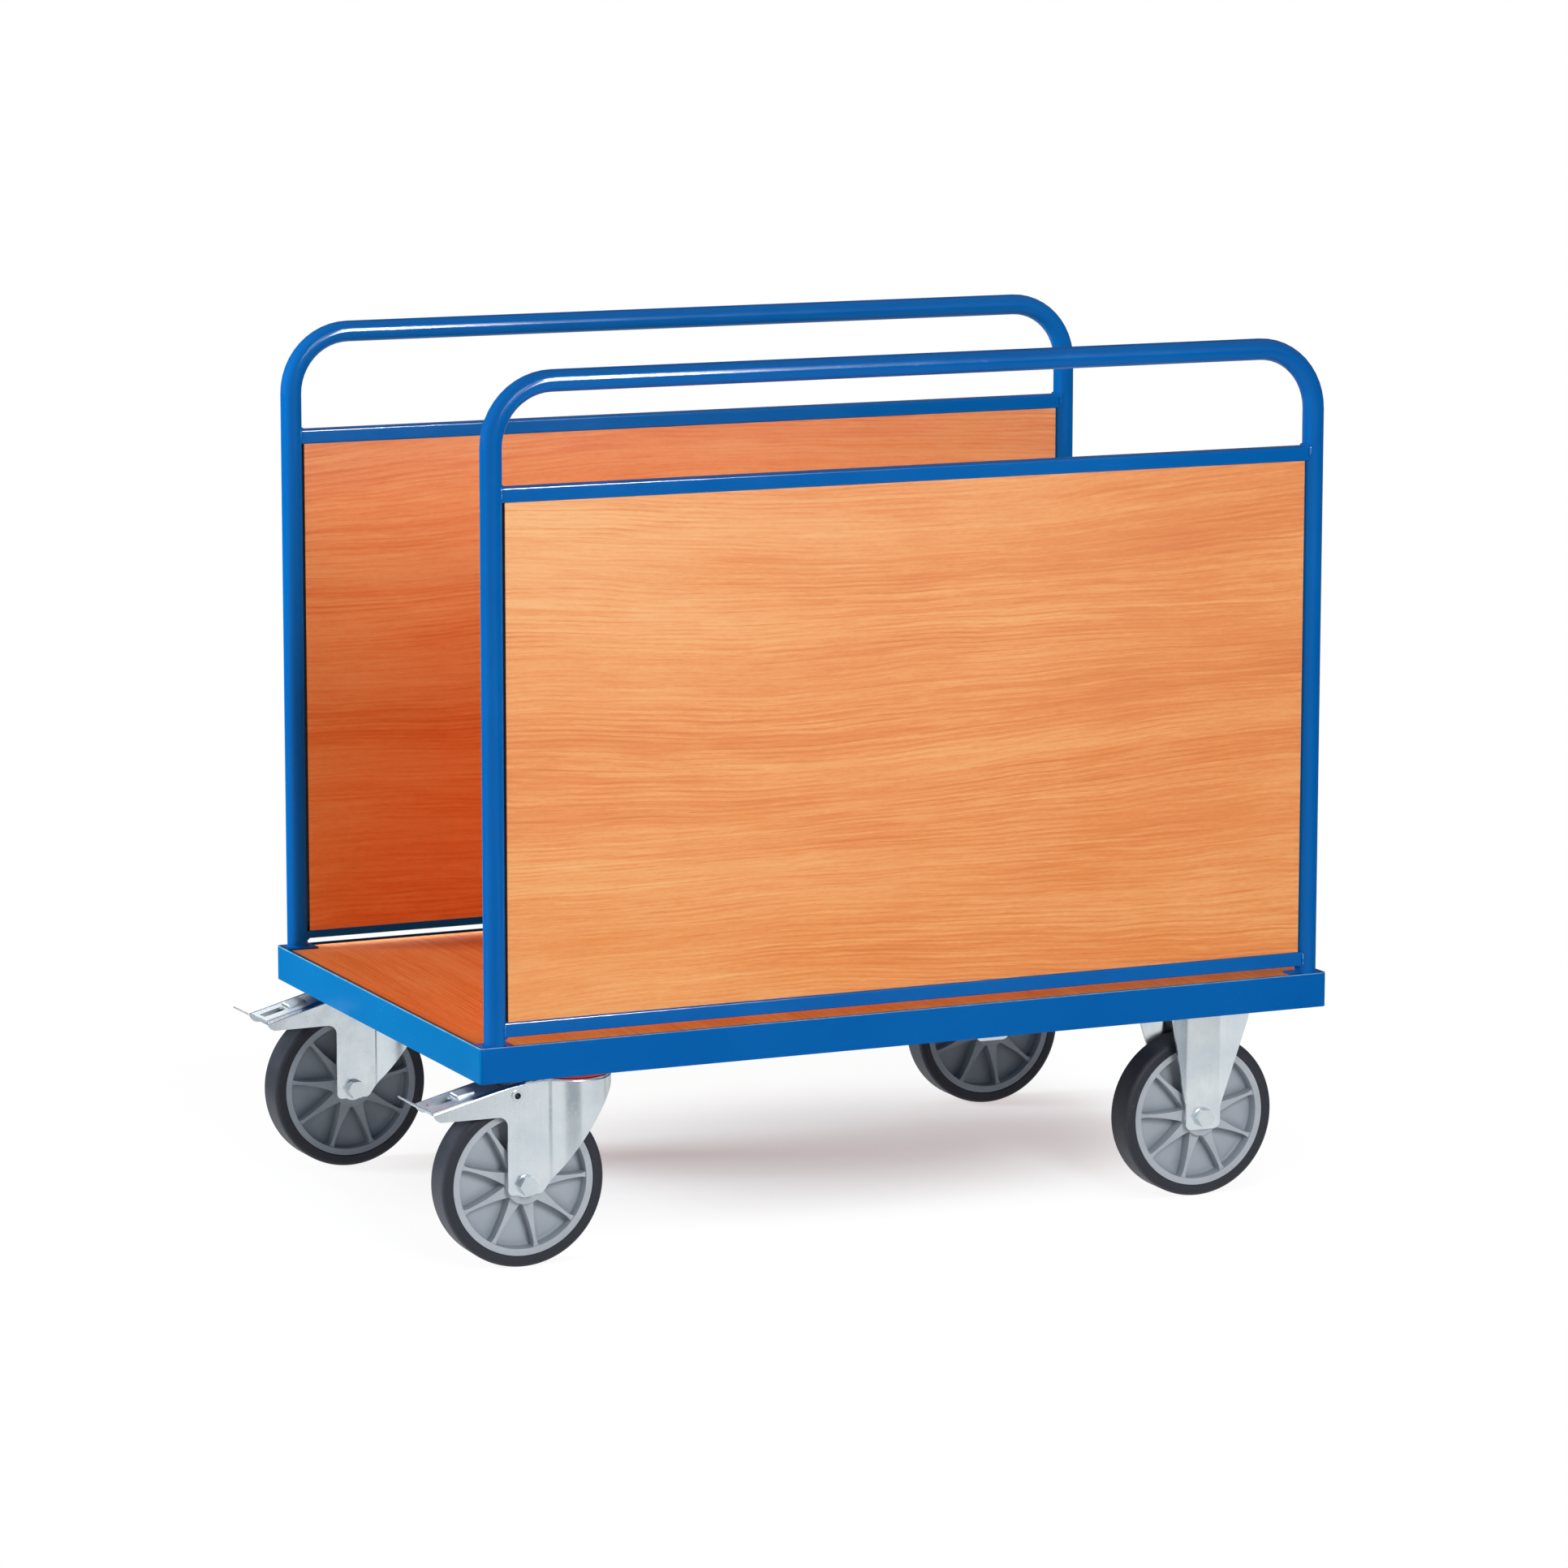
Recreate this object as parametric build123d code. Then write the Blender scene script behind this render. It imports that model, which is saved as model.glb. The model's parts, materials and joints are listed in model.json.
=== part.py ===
# Bale trolley: a boarded deck in a steel rim, a panelled tube hoop along each long side,
# two fixed casters at one end and two braked swivel casters at the other.
# Millimetres. +X runs along the deck towards the fixed casters, +Y across it, +Z up from the floor.
import os
from math import cos, radians, sin, sqrt, tan

from build123d import *

# Overall sizes
deck_length = 1160.0        # outside of the rim
deck_width = 720.0          # outside of the rim
hoop_height = 1097.0        # floor to the top of the hoop tube
wheel_radius = 105.0

# Rim and deck
rim_height = 44.0
rim_wall = 4.0
rim_corner = 5.0            # plan radius of the rim's corners
ledge_width = 30.0          # inward ledge that carries the deck
ledge_thick = 4.0
deck_thick = 15.0
deck_below_rim = 2.0
deck_gap = 2.0              # deck edge to rim wall
notch_gap = 1.5             # deck notch to corner plate
corner_plate_thick = 4.0
corner_plate_margin = 8.0   # plate beyond the post along X
corner_plate_lip = 5.0      # plate beyond the post along Y

# Hoops, crossbars and side panels
tube_od = 27.0
tube_wall = 2.0
post_inset = 24.0           # deck end to the post's centre
bend_radius = 78.0          # centreline of the hoop's bends
hand_gap = 110.5            # clear height above the upper crossbar
lower_bar_gap = 10.0        # rim top to the lower crossbar
bar_height = 18.5
bar_inner_lip = 10.0        # height of the lower crossbar on the load's side
bar_depth = 20.0
bar_wall = 2.0
bar_edge = 2.5              # outer edge radius of the crossbars
panel_thick = 15.0
panel_gap = 1.0             # panel edge to post
weld_gap = 0.05             # crossbar end to post wall

# Caster places
kingpin_inset = 140.0       # deck end to the swivel axis
fixed_inset = 163.0         # deck end to the fixed axle
caster_inset = 57.5         # deck side to the wheel's middle plane
headings = {"near": -1.0, "far": 2.0}   # how the swivel casters stand, degrees about +Z
fixed_spin = {"near": 16.0, "far": 1.0}     # how the wheels stand on their axles, degrees
swivel_spin = {"near": 2.0, "far": 11.0}

# Caster plates and what they bolt to
plate_length = 138.0
plate_width = 105.0
plate_thick = 6.0
plate_corner = 12.0
hole_spacing_x = 105.0
hole_spacing_y = 75.0
bolt_d = 10.0
bolt_hole_d = 11.0
bolt_head_d = 16.0
bolt_head_h = 4.0
bolt_head_edge = 1.5
bolt_room = 4.0             # bolt's end to the deck board
nut_flats = 17.0
nut_height = 8.0
rim_cover = 1.0             # rim reaches this far below the caster plates
carrier_width = 150.0
carrier_wall = 4.0
middle_width = 50.0

# Deck screws
screw_d = 4.4
screw_head_d = 9.0
screw_head_h = 2.6
screw_bite = 10.0
screw_x = 220.0             # along the side ledges, from the deck's middle
screw_y = 180.0             # along the end ledges, from the deck's middle

# Wheels
tyre_width = 45.0
tread_width = 33.0          # flat part of the tread
tyre_depth = 14.5           # radial
rim_ring = 8.3              # radial width of the wheel's outer ring
rim_lip = 0.8               # rounded edges of ring and hub
rim_set_back = 1.2          # ring face behind the tyre's side
hub_radius = 25.0
web_thick = 6.0
web_corner = 3.0            # rounded corners from the web into ring and hub
rib_count = 9
rib_hub = 7.8               # half widths of a rib at hub, waist and ring
rib_waist = 2.0
rib_ring = 4.8
rib_flare = 8.0             # waist to the ring
rib_drop_hub = 6.5          # rib top below the hub's face
rib_drop_ring = 2.5         # rib top below the ring's face
rib_root = 2.0              # how far a rib runs into hub and ring
bearing_od = 32.0
bearing_width = 10.0
sleeve_od = 20.0
sleeve_room = 1.0           # hub bore to sleeve, between the bearings
axle_d = 12.0
axle_flats = 21.0
axle_head = 9.0
axle_end = 3.0              # thread past the nut
washer_d = 25.0
washer_thick = 1.5
running_gap = 0.05          # radial, between turning faces
side_gap = 0.3              # axial, between turning faces
fit_gap = 0.02              # radial, between pieces of one body

# Forks
sheet = 3.0
fork_inside = 60.0          # between the cheeks
crown_over_tyre = 25.0      # top of the tyre to the top of the crown
head_gap = 6.0              # crown to caster plate
head_radius = 50.0          # round head about the kingpin
head_blend = 10.0           # head to cheek
head_skirt = 6.0            # depth of the head at its front
crown_edge = 4.5            # rounded edge along the crown
trail = 70.0                # kingpin to axle
lobe_back = 24.0            # cheek round the axle: behind, ahead and below it
lobe_front = 20.0
lobe_below = 12.0
lobe_corner = 7.0
arm_reach = 119.0           # axle to the arms' ends
arm_drop = 18.5             # arm's lower edge below the tyre's top
arm_end_height = 13.0       # height of the arms' ends
arm_tip = 11.0              # lower corner of the arms' ends
arm_notch = 12.0            # corner between arm and cheek
crown_slope = 14.5          # degrees, along the arms
crown_curve = 250.0         # from the level crown into the slope
opening_at = 26.0           # axle to the crown's opening for the pedal
pedal_gap = 0.4             # pedal to the crown's opening

# Fixed forks
leg_flat = 49.0             # flat width of a leg
leg_below = 16.0
leg_corner = 9.0
leg_margin = 0.5            # a leg's flanges end this far inside the plate's edges
leg_bend = 33.0             # degrees
leg_bend_radius = 6.0
leg_taper_from = 12.0       # flanges start this far above the axle
leg_taper_bend = 20.0       # soft corner where they start

# Kingpin, race and seal
kingpin_d = 16.0
kingpin_head_d = 28.0
kingpin_head_h = 5.0
kingpin_nut_flats = 24.0
kingpin_nut_h = 10.0
kingpin_end = 3.0           # thread past the nut
kingpin_room = 3.0          # hole in the carrier round the kingpin's head
race_inner = 22.0
race_outer = 38.0
seal_inner = 43.0
seal_outer = 50.0
seal_edge = 1.5

# Brake
pedal_side_gap = 2.0        # pedal flanges to the fork's cheeks
pedal_sheet = 3.0
pedal_edge = 4.0            # bend along the plate's sides
pedal_start = 30.0          # axle to the plate's inner end
pivot_back = 11.5           # axle to the pedal's pivot, back and above the tyre
pivot_over = 6.5
pin_d = 10.0
pin_bore = 7.8
pin_head_d = 14.3
pin_head_h = 1.5
lug_radius = 9.0
flange_deep = 20.0          # pedal side flanges, at the shoe and at the toe
flange_shallow = 6.0
flange_deep_at = 60.0       # toe to the flanges' deepest place
slot_length = 31.0
slot_width = 18.0
slot_corner = 3.0
slot_end = 5.0              # slot to the plate's outer end
hump_after_slot = 2.0
hump_length = 26.0
hump_width = 26.0
hump_height = 4.0
hump_edge = 3.0
toe_drop = 6.0              # turned-down end of the plate
toe_length = 28.0           # release lip
toe_rise = 29.0             # degrees
toe_sheet = 2.0
brake_angle = 12.0          # pedal travel from released to braked, degrees
shoe_gap = 0.4              # to the tyre when braked
shoe_thick = 6.5
shoe_from = 22.0            # degrees round the wheel, behind its top
shoe_to = 46.0

# Heights that follow from the sizes above
axle_z = wheel_radius
tyre_top = 2 * wheel_radius
crown_top = tyre_top + crown_over_tyre
plate_bottom = crown_top + head_gap
plate_top = plate_bottom + plate_thick
web_top = plate_top + carrier_wall
rim_bottom = plate_bottom - rim_cover
rim_top = rim_bottom + rim_height
deck_top = rim_top - deck_below_rim
deck_bottom = deck_top - deck_thick
ledge_bottom = deck_bottom - ledge_thick
tube_r = tube_od / 2
hoop_axis = hoop_height - tube_r
lower_bar_bottom = rim_top + lower_bar_gap
upper_bar_top = hoop_height - tube_od - hand_gap
arm_low = tyre_top - arm_drop
arm_top = arm_low + arm_end_height

# Places that follow from the sizes above
post_x = deck_length / 2 - post_inset
post_y = deck_width / 2 - tube_r
inner_length = deck_length - 2 * rim_wall
inner_width = deck_width - 2 * rim_wall
kingpin_x = kingpin_inset - deck_length / 2
fixed_x = deck_length / 2 - fixed_inset
caster_y = deck_width / 2 - caster_inset
sides = {"near": -1, "far": 1}
cheek_in = fork_inside / 2
cheek_out = cheek_in + sheet
hub_length = fork_inside - 2 * side_gap
pedal_width = fork_inside - 2 * pedal_side_gap
wide = deck_width           # longer than any caster piece, for cuts right through

# The origin is on the floor, under the middle of the outline seen from above.
toe_out = arm_reach + toe_length * cos(radians(toe_rise))
toe_reach = max(
    (trail + toe_out) * cos(radians(turn)) + pedal_width / 2 * abs(sin(radians(turn)))
    for turn in headings.values()
)
frame_shift = (toe_reach - kingpin_inset) / 2

pieces = {}


def prism(face, low, high):
    return Pos(0, 0, low) * extrude(face, high - low)


def across(face, half):
    # a side view, drawn in X and Z, made a slab about the XZ plane
    return extrude(Plane.XZ * face, half, both=True)


def ring(outer, inner, low, high):
    return prism(Circle(outer) - Circle(inner), low, high)


def hexagon(flats):
    return RegularPolygon(flats / 2, 6, major_radius=False)


def corners(dx, dy):
    return [(sx * dx, sy * dy) for sx in (-1, 1) for sy in (-1, 1)]


# Rim, deck and what carries them

def screw_places():
    side_y = inner_width / 2 - ledge_width / 2
    end_x = inner_length / 2 - ledge_width / 2
    return corners(screw_x, side_y) + corners(end_x, screw_y)


def build_rim():
    # one rim all round, with its ledge, cut along the corner mitres into four rails
    wall = RectangleRounded(deck_length, deck_width, rim_corner)
    inside = RectangleRounded(inner_length, inner_width, rim_corner - rim_wall)
    well = Rectangle(inner_length - 2 * ledge_width, inner_width - 2 * ledge_width)
    rim = prism(wall - inside, rim_bottom, rim_top) + prism(inside - well, ledge_bottom, deck_bottom)
    for x, y in screw_places():
        rim -= Pos(x, y, 0) * prism(Circle(screw_d / 2 + fit_gap), ledge_bottom, deck_bottom)
    half_x = deck_length / 2
    half_y = deck_width / 2
    for name, sign in (("end_rail_swivel", -1), ("end_rail_fixed", 1)):
        tip = (sign * (half_x - half_y), 0)
        far_x = sign * 2 * half_x
        far_y = half_x + half_y
        corner = make_face(Polyline(tip, (far_x, -far_y), (far_x, far_y), close=True))
        wedge = prism(corner, rim_bottom, rim_top)
        pieces[name] = rim & wedge
        rim -= wedge
    for side, sign in sides.items():
        half = Pos(0, sign * half_y) * Rectangle(2 * half_x, 2 * half_y)
        pieces["side_rail_" + side] = rim & prism(half, rim_bottom, rim_top)


def corner_notches(margin):
    # the corners of the deck that the posts' feet take
    inner_x = post_x - tube_r - corner_plate_margin - margin
    inner_y = post_y - tube_r - corner_plate_lip - margin
    size_x = deck_length / 2 - inner_x
    size_y = deck_width / 2 - inner_y
    places = corners(inner_x + size_x / 2, inner_y + size_y / 2)
    return [Pos(x, y) * Rectangle(size_x, size_y) for x, y in places]


def build_deck():
    inside = RectangleRounded(inner_length, inner_width, rim_corner - rim_wall)
    plate_low = rim_top - corner_plate_thick
    pieces["corner_plates"] = [prism(inside & notch, plate_low, rim_top) for notch in corner_notches(0)]

    board = Rectangle(inner_length - 2 * deck_gap, inner_width - 2 * deck_gap)
    for notch in corner_notches(notch_gap):
        board -= notch
    deck = prism(board, deck_bottom, deck_top)
    screw = prism(Circle(screw_d / 2), ledge_bottom, deck_bottom + screw_bite)
    screw += prism(Circle(screw_head_d / 2), ledge_bottom - screw_head_h, ledge_bottom)
    for x, y in screw_places():
        deck -= Pos(x, y, 0) * prism(Circle(screw_d / 2 + fit_gap), deck_bottom, deck_bottom + screw_bite)
    pieces["deck_panel"] = deck
    pieces["deck_screws"] = [Pos(x, y, 0) * screw for x, y in screw_places()]


def channel(width):
    # cross channel on its back, its flanges coped to go under the side ledges
    outer = Rectangle(width, inner_width)
    trough = Rectangle(width - 2 * carrier_wall, inner_width)
    between_ledges = Rectangle(width, inner_width - 2 * ledge_width)
    body = prism(outer, plate_top, deck_bottom) - prism(trough, web_top, deck_bottom)
    return body - prism(outer - between_ledges, ledge_bottom, deck_bottom)


def plate_holes(low, high):
    places = corners(hole_spacing_x / 2, hole_spacing_y / 2)
    return [Pos(x, y, 0) * prism(Circle(bolt_hole_d / 2), low, high) for x, y in places]


def build_carriers():
    swivel = channel(carrier_width)
    fixed = channel(carrier_width)
    head_room = prism(Circle(kingpin_head_d / 2 + kingpin_room), plate_top, web_top)
    for sign in sides.values():
        place = Pos(0, sign * caster_y, 0)
        for hole in plate_holes(plate_top, web_top):
            swivel -= place * hole
            fixed -= place * hole
        swivel -= place * head_room
    pieces["caster_carrier_swivel"] = Pos(kingpin_x, 0, 0) * swivel
    pieces["caster_carrier_fixed"] = Pos(fixed_x, 0, 0) * fixed
    pieces["middle_crossmember"] = Pos((kingpin_x + fixed_x) / 2, 0, 0) * channel(middle_width)

    head = prism(Circle(bolt_head_d / 2), plate_bottom - bolt_head_h, plate_bottom)
    head = chamfer(head.edges().group_by(Axis.Z)[0], bolt_head_edge)
    bolt = head + prism(Circle(bolt_d / 2), plate_bottom, deck_bottom - bolt_room)
    nut = prism(hexagon(nut_flats) - Circle(bolt_d / 2 + fit_gap), web_top, web_top + nut_height)
    places = []
    for x in (kingpin_x, fixed_x):
        for sign in sides.values():
            for dx, dy in corners(hole_spacing_x / 2, hole_spacing_y / 2):
                places.append(Pos(x + dx, sign * caster_y + dy, 0))
    pieces["caster_bolts"] = [place * bolt for place in places]
    pieces["caster_nuts"] = [place * nut for place in places]


# Hoops, crossbars and side panels

def crossbar(low, opens_up):
    # channel that holds an edge of the side panel, its ends saddled onto the posts
    section = fillet(Rectangle(bar_depth, bar_height).vertices(), bar_edge)
    slot = Pos(0, bar_wall if opens_up else -bar_wall) * Rectangle(bar_depth - 2 * bar_wall, bar_height)
    section -= slot
    if opens_up:
        # the lip towards the load is lower than the outer one
        section -= Pos(bar_depth / 2, bar_inner_lip) * Rectangle(2 * bar_wall, bar_height)
    bar = Pos(0, 0, low + bar_height / 2) * extrude(Plane.YZ * section, post_x, both=True)
    for x in (-post_x, post_x):
        bar -= Pos(x, 0, 0) * prism(Circle(tube_r + weld_gap), low, low + bar_height)
    return bar


def build_sides():
    foot = (-post_x, 0, rim_top)
    shoulders = ((-post_x, 0, hoop_axis), (post_x, 0, hoop_axis))
    path = FilletPolyline(foot, *shoulders, (post_x, 0, rim_top), radius=bend_radius)
    section = Plane(origin=foot, z_dir=(0, 0, 1)) * (Circle(tube_r) - Circle(tube_r - tube_wall))
    hoop = sweep(section, path)
    upper = crossbar(upper_bar_top - bar_height, False)
    lower = crossbar(lower_bar_bottom, True)
    panel_length = 2 * (post_x - tube_r - panel_gap)
    panel = prism(Rectangle(panel_length, panel_thick), lower_bar_bottom + bar_wall, upper_bar_top - bar_wall)
    for side, sign in sides.items():
        place = Pos(0, sign * post_y, 0)
        pieces["hoop_" + side] = place * hoop
        pieces["upper_crossbar_" + side] = place * upper
        pieces["lower_crossbar_" + side] = place * Rot(0, 0, 0 if sign < 0 else 180) * lower
        pieces["side_panel_" + side] = place * panel


# Wheels, about the Z axis

def wheel_tyre():
    inner = wheel_radius - tyre_depth + fit_gap
    half = tyre_width / 2
    tread = tread_width / 2
    seat = half - rim_set_back
    outline = FilletPolyline(
        (inner, -seat),
        (inner + rim_set_back, -half),
        (wheel_radius, -half),
        (wheel_radius, half),
        (inner + rim_set_back, half),
        (inner, seat),
        radius=[0, half - tread, half - tread, 0],
    )
    return revolve(Plane.XZ * make_face(outline + Line(outline @ 1, outline @ 0)), Axis.Z)


def waisted(x, y, waist_x, waist_y):
    # arc from a rib's wide end that runs level into its waist
    run = waist_x - x
    rise = y - waist_y
    radius = (run**2 + rise**2) / (2 * rise)
    middle = waist_y + radius - sqrt(radius**2 - run**2 / 4)
    return ThreePointArc((x, y), (x + run / 2, middle), (waist_x, waist_y))


def wheel_rim():
    outer = wheel_radius - tyre_depth
    ring_in = outer - rim_ring
    ring_face = tyre_width / 2 - rim_set_back
    hub_face = hub_length / 2
    bore = sleeve_od / 2 + sleeve_room
    web = web_thick / 2

    # hub, web and ring in one section, with moulded corners
    one_side = [
        (hub_radius, hub_face, rim_lip),
        (hub_radius, web, web_corner),
        (ring_in, web, web_corner),
        (ring_in, ring_face, rim_lip),
        (outer, ring_face, 0),
    ]
    turns = one_side + [(r, -z, corner) for r, z, corner in reversed(one_side)]
    section = FilletPolyline(
        (bore, hub_face),
        *[(r, z) for r, z, corner in turns],
        (bore, -hub_face),
        radius=[corner for r, z, corner in turns],
    )
    body = revolve(Plane.XZ * make_face(section + Line(section @ 1, section @ 0)), Axis.Z)

    # ribs: a waisted outline, trimmed to a cone that falls from hub to ring
    start = hub_radius - rib_root
    end = ring_in + rib_root
    waist = end - rib_root - rib_flare
    left = waisted(start, rib_hub, waist, rib_waist) + waisted(end, rib_ring, waist, rib_waist)
    ends = Line((start, rib_hub), (start, -rib_hub)) + Line((end, rib_ring), (end, -rib_ring))
    outline = make_face(left + mirror(left, Plane.XZ) + ends)
    high = hub_face - rib_drop_hub
    low = ring_face - rib_drop_ring
    cone = make_face(Polyline((bore, -high), (bore, high), (end, low), (end, -low), close=True))
    rib = prism(outline, -high, high) & revolve(Plane.XZ * cone, Axis.Z)
    body = body.fuse(*[Rot(0, 0, 360 / rib_count * i) * rib for i in range(rib_count)])

    seat = prism(Circle(bearing_od / 2 + fit_gap), hub_face - side_gap - bearing_width, hub_face)
    return body - seat - mirror(seat, Plane.XY)


def wheel_bearings():
    face = hub_length / 2 - side_gap
    one = ring(bearing_od / 2, sleeve_od / 2 + running_gap, face - bearing_width, face)
    return [one, mirror(one, Plane.XY)]


def axle_bolt():
    shank = prism(Circle(axle_d / 2), -cheek_out - washer_thick - axle_head - axle_end, cheek_out)
    washer = prism(Circle(washer_d / 2), cheek_out, cheek_out + washer_thick)
    head = prism(hexagon(axle_flats), cheek_out + washer_thick, cheek_out + washer_thick + axle_head)
    return shank + washer + head


def axle_nut():
    nut = prism(hexagon(axle_flats), cheek_out + washer_thick, cheek_out + washer_thick + axle_head)
    nut += prism(Circle(washer_d / 2), cheek_out, cheek_out + washer_thick)
    nut -= prism(Circle(axle_d / 2 + fit_gap), cheek_out, cheek_out + washer_thick + axle_head)
    return mirror(nut, Plane.XY)


def axle_sleeve():
    return ring(sleeve_od / 2, axle_d / 2 + fit_gap, fit_gap - cheek_in, cheek_in - fit_gap)


def on_axle(x):
    # turns a piece made about Z to lie along Y, its top towards -Y, at the wheel's height
    return Pos(x, 0, axle_z) * Rot(90, 0, 0)


# Swivel casters: kingpin on the Z axis, wheel behind it along -X

slope = radians(crown_slope)
roof_centre_x = (crown_top - arm_top) / tan(slope) - arm_reach + crown_curve * tan(slope / 2)
roof_centre_z = crown_top - crown_curve
pivot_x = -trail - pivot_back
pivot_z = tyre_top + pivot_over


def roof_point(depth, back):
    # a point on the crown's curve, `depth` below its surface, `back` radians from the level part
    reach = crown_curve - depth
    return (roof_centre_x - reach * sin(back), roof_centre_z + reach * cos(back))


def roof_line(depth, rear, front):
    # the crown in side view, from the axle: a slope, a curve and a level part
    level = roof_point(depth, 0)
    tilt = roof_point(depth, slope)
    end = (rear, tilt[1] - (tilt[0] - rear) * tan(slope))
    curve = ThreePointArc(tilt, roof_point(depth, slope / 2), level)
    return Line(end, tilt) + curve + Line(level, (front, level[1]))


def roof_height(x):
    if x >= roof_centre_x:
        return crown_top
    if x <= roof_point(0, slope)[0]:
        return arm_top + (x + arm_reach) * tan(slope)
    return roof_centre_z + sqrt(crown_curve ** 2 - (x - roof_centre_x) ** 2)


def lies_along_crown(edge):
    # an edge of the crown, other than the lines straight across it
    if edge.geom_type == GeomType.LINE and abs((edge % 0.5).Y) > 0.5:
        return False
    points = [edge @ place for place in (0.1, 0.5, 0.9)]
    return all(abs(point.Z - roof_height(point.X + trail)) < fit_gap for point in points)


def fork_plan(half, radius, blend):
    straight = Pos(-trail - arm_reach, 0) * Rectangle(2 * (trail + arm_reach), 2 * half)
    plan = straight + Circle(radius)
    neck = -sqrt(radius ** 2 - half ** 2)
    return fillet([point for point in plan.vertices() if abs(point.X - neck) < fit_gap], blend)


def swivel_fork():
    lobe_low = axle_z - lobe_below
    front = trail + head_radius
    steepness = (crown_top - head_skirt - lobe_low) / (front - lobe_front)
    nose = lobe_front + (crown_top - lobe_low) / steepness
    below = FilletPolyline(
        (nose, crown_top),
        (lobe_front, lobe_low),
        (-lobe_back, lobe_low),
        (-lobe_back, arm_low),
        (-arm_reach, arm_low),
        (-arm_reach, arm_top),
        radius=[lobe_corner, lobe_corner, arm_notch, arm_tip],
    )
    view = make_face(roof_line(0, -arm_reach, nose) + below)
    fork = Pos(-trail, 0, 0) * across(view, wide)
    fork &= prism(fork_plan(cheek_out, head_radius, head_blend), 0, crown_top)
    fork = fillet([edge for edge in fork.edges() if lies_along_crown(edge)], crown_edge)

    # the inside of the pressing, one sheet in from the outside
    rear = -2 * arm_reach
    roof = roof_line(sheet, rear, nose)
    under = Polyline(roof @ 1, (nose, 0), (rear, 0), roof @ 0)
    hollow = Pos(-trail, 0, 0) * across(make_face(roof + under), wide)
    fork -= hollow & prism(fork_plan(cheek_in, head_radius - sheet, head_blend + sheet), 0, crown_top)

    opening = Rectangle(2 * arm_reach, pedal_width + 2 * pedal_gap)
    fork -= Pos(-trail - opening_at - arm_reach, 0, 0) * prism(opening, arm_low, crown_top)
    fork -= prism(Circle(kingpin_d / 2 + running_gap), axle_z, crown_top)
    fork -= on_axle(-trail) * prism(Circle(axle_d / 2 + fit_gap), -wide, wide)
    fork -= at_pivot() * prism(Circle(pin_d / 2 + fit_gap), -wide, wide)
    return fork


def at_pivot():
    return Pos(pivot_x, 0, pivot_z) * Rot(90, 0, 0)


def pedal_pin():
    # tubular rivet, headed over both cheeks
    end = cheek_out + pin_head_h
    pin = ring(pin_d / 2, pin_bore / 2, -end, end)
    head = ring(pin_head_d / 2, pin_bore / 2, cheek_out, end)
    return at_pivot() * (pin + head + mirror(head, Plane.XY))


def brake_pedal():
    # drawn along the crown's slope: x inwards from the arms' ends, z up from the slope
    run = arm_reach - pivot_back
    rise = pivot_z - arm_top
    lug_x = run * cos(slope) + rise * sin(slope)
    lug_z = rise * cos(slope) - run * sin(slope)
    length = (arm_reach - pedal_start) / cos(slope)
    half = pedal_width / 2
    flange = Polyline(
        (0, 0),
        (length, 0),
        (length, -pedal_sheet),
        (lug_x, lug_z + lug_radius),
        (lug_x, lug_z - lug_radius),
        (flange_deep_at, -flange_deep),
        (0, -flange_shallow),
        close=True,
    )
    view = make_face(flange) + Pos(lug_x, lug_z) * Circle(lug_radius)
    pedal = across(view, half)
    pedal = fillet(pedal.edges().filter_by(Axis.X).group_by(Axis.Z)[-1], pedal_edge)
    room = Pos(length, -pedal_sheet - length) * Rectangle(2 * length - 2 * pedal_sheet, 2 * length)
    pedal -= across(room, half - pedal_sheet)
    toe = Pos(pedal_sheet / 2, -toe_drop / 2) * Rectangle(pedal_sheet, toe_drop)
    pedal += across(toe, half - pedal_sheet)
    slot = Pos(slot_end + slot_length / 2, 0) * RectangleRounded(slot_length, slot_width, slot_corner)
    pedal -= prism(slot, -pedal_sheet, 0)
    hump_x = slot_end + slot_length + hump_after_slot + hump_length / 2
    hump = Pos(hump_x, 0) * RectangleRounded(hump_length, hump_width, hump_edge)
    hump = prism(hump, -pedal_sheet, hump_height)
    pedal += fillet(hump.edges().group_by(Axis.Z)[-1], hump_edge)
    pedal = Pos(-trail - arm_reach, 0, arm_top) * Rot(0, -crown_slope, 0) * pedal

    # release lip, pulled up with the toe of a boot
    lip = Pos(pedal_sheet, 0) * Rectangle(toe_length + pedal_sheet, toe_sheet, align=(Align.MAX, Align.MIN))
    lip = Pos(-trail - arm_reach, arm_top - toe_drop + toe_sheet) * Rot(0, 0, -toe_rise) * lip
    pedal += across(lip, half)
    return pedal - at_pivot() * prism(Circle(pin_d / 2 + running_gap), -half, half)


def brake_shoe():
    # a block curved round the tyre, drawn where it brakes and then swung back to where it rests
    inner = wheel_radius + shoe_gap
    outer = inner + shoe_thick
    turns = [radians(turn) for turn in (shoe_from, (shoe_from + shoe_to) / 2, shoe_to)]
    below = [(-inner * sin(turn), inner * cos(turn)) for turn in turns]
    above = [(-outer * sin(turn), outer * cos(turn)) for turn in turns]
    outline = ThreePointArc(*below) + Line(below[2], above[2])
    outline += ThreePointArc(*reversed(above)) + Line(above[0], below[0])
    shoe = across(make_face(outline), pedal_width / 2 - pedal_sheet)
    swing_back = Pos(pivot_x, 0, pivot_z) * Rot(0, brake_angle, 0) * Pos(-pivot_x, 0, -pivot_z)
    return swing_back * Pos(-trail, 0, axle_z) * shoe


def caster_plate():
    plate = prism(RectangleRounded(plate_length, plate_width, plate_corner), plate_bottom, plate_top)
    for hole in plate_holes(plate_bottom, plate_top):
        plate -= hole
    return plate


def kingpin():
    low = crown_top - sheet - side_gap - kingpin_nut_h - kingpin_end
    pin = prism(Circle(kingpin_d / 2), low, plate_top)
    return pin + prism(Circle(kingpin_head_d / 2), plate_top, plate_top + kingpin_head_h)


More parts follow.
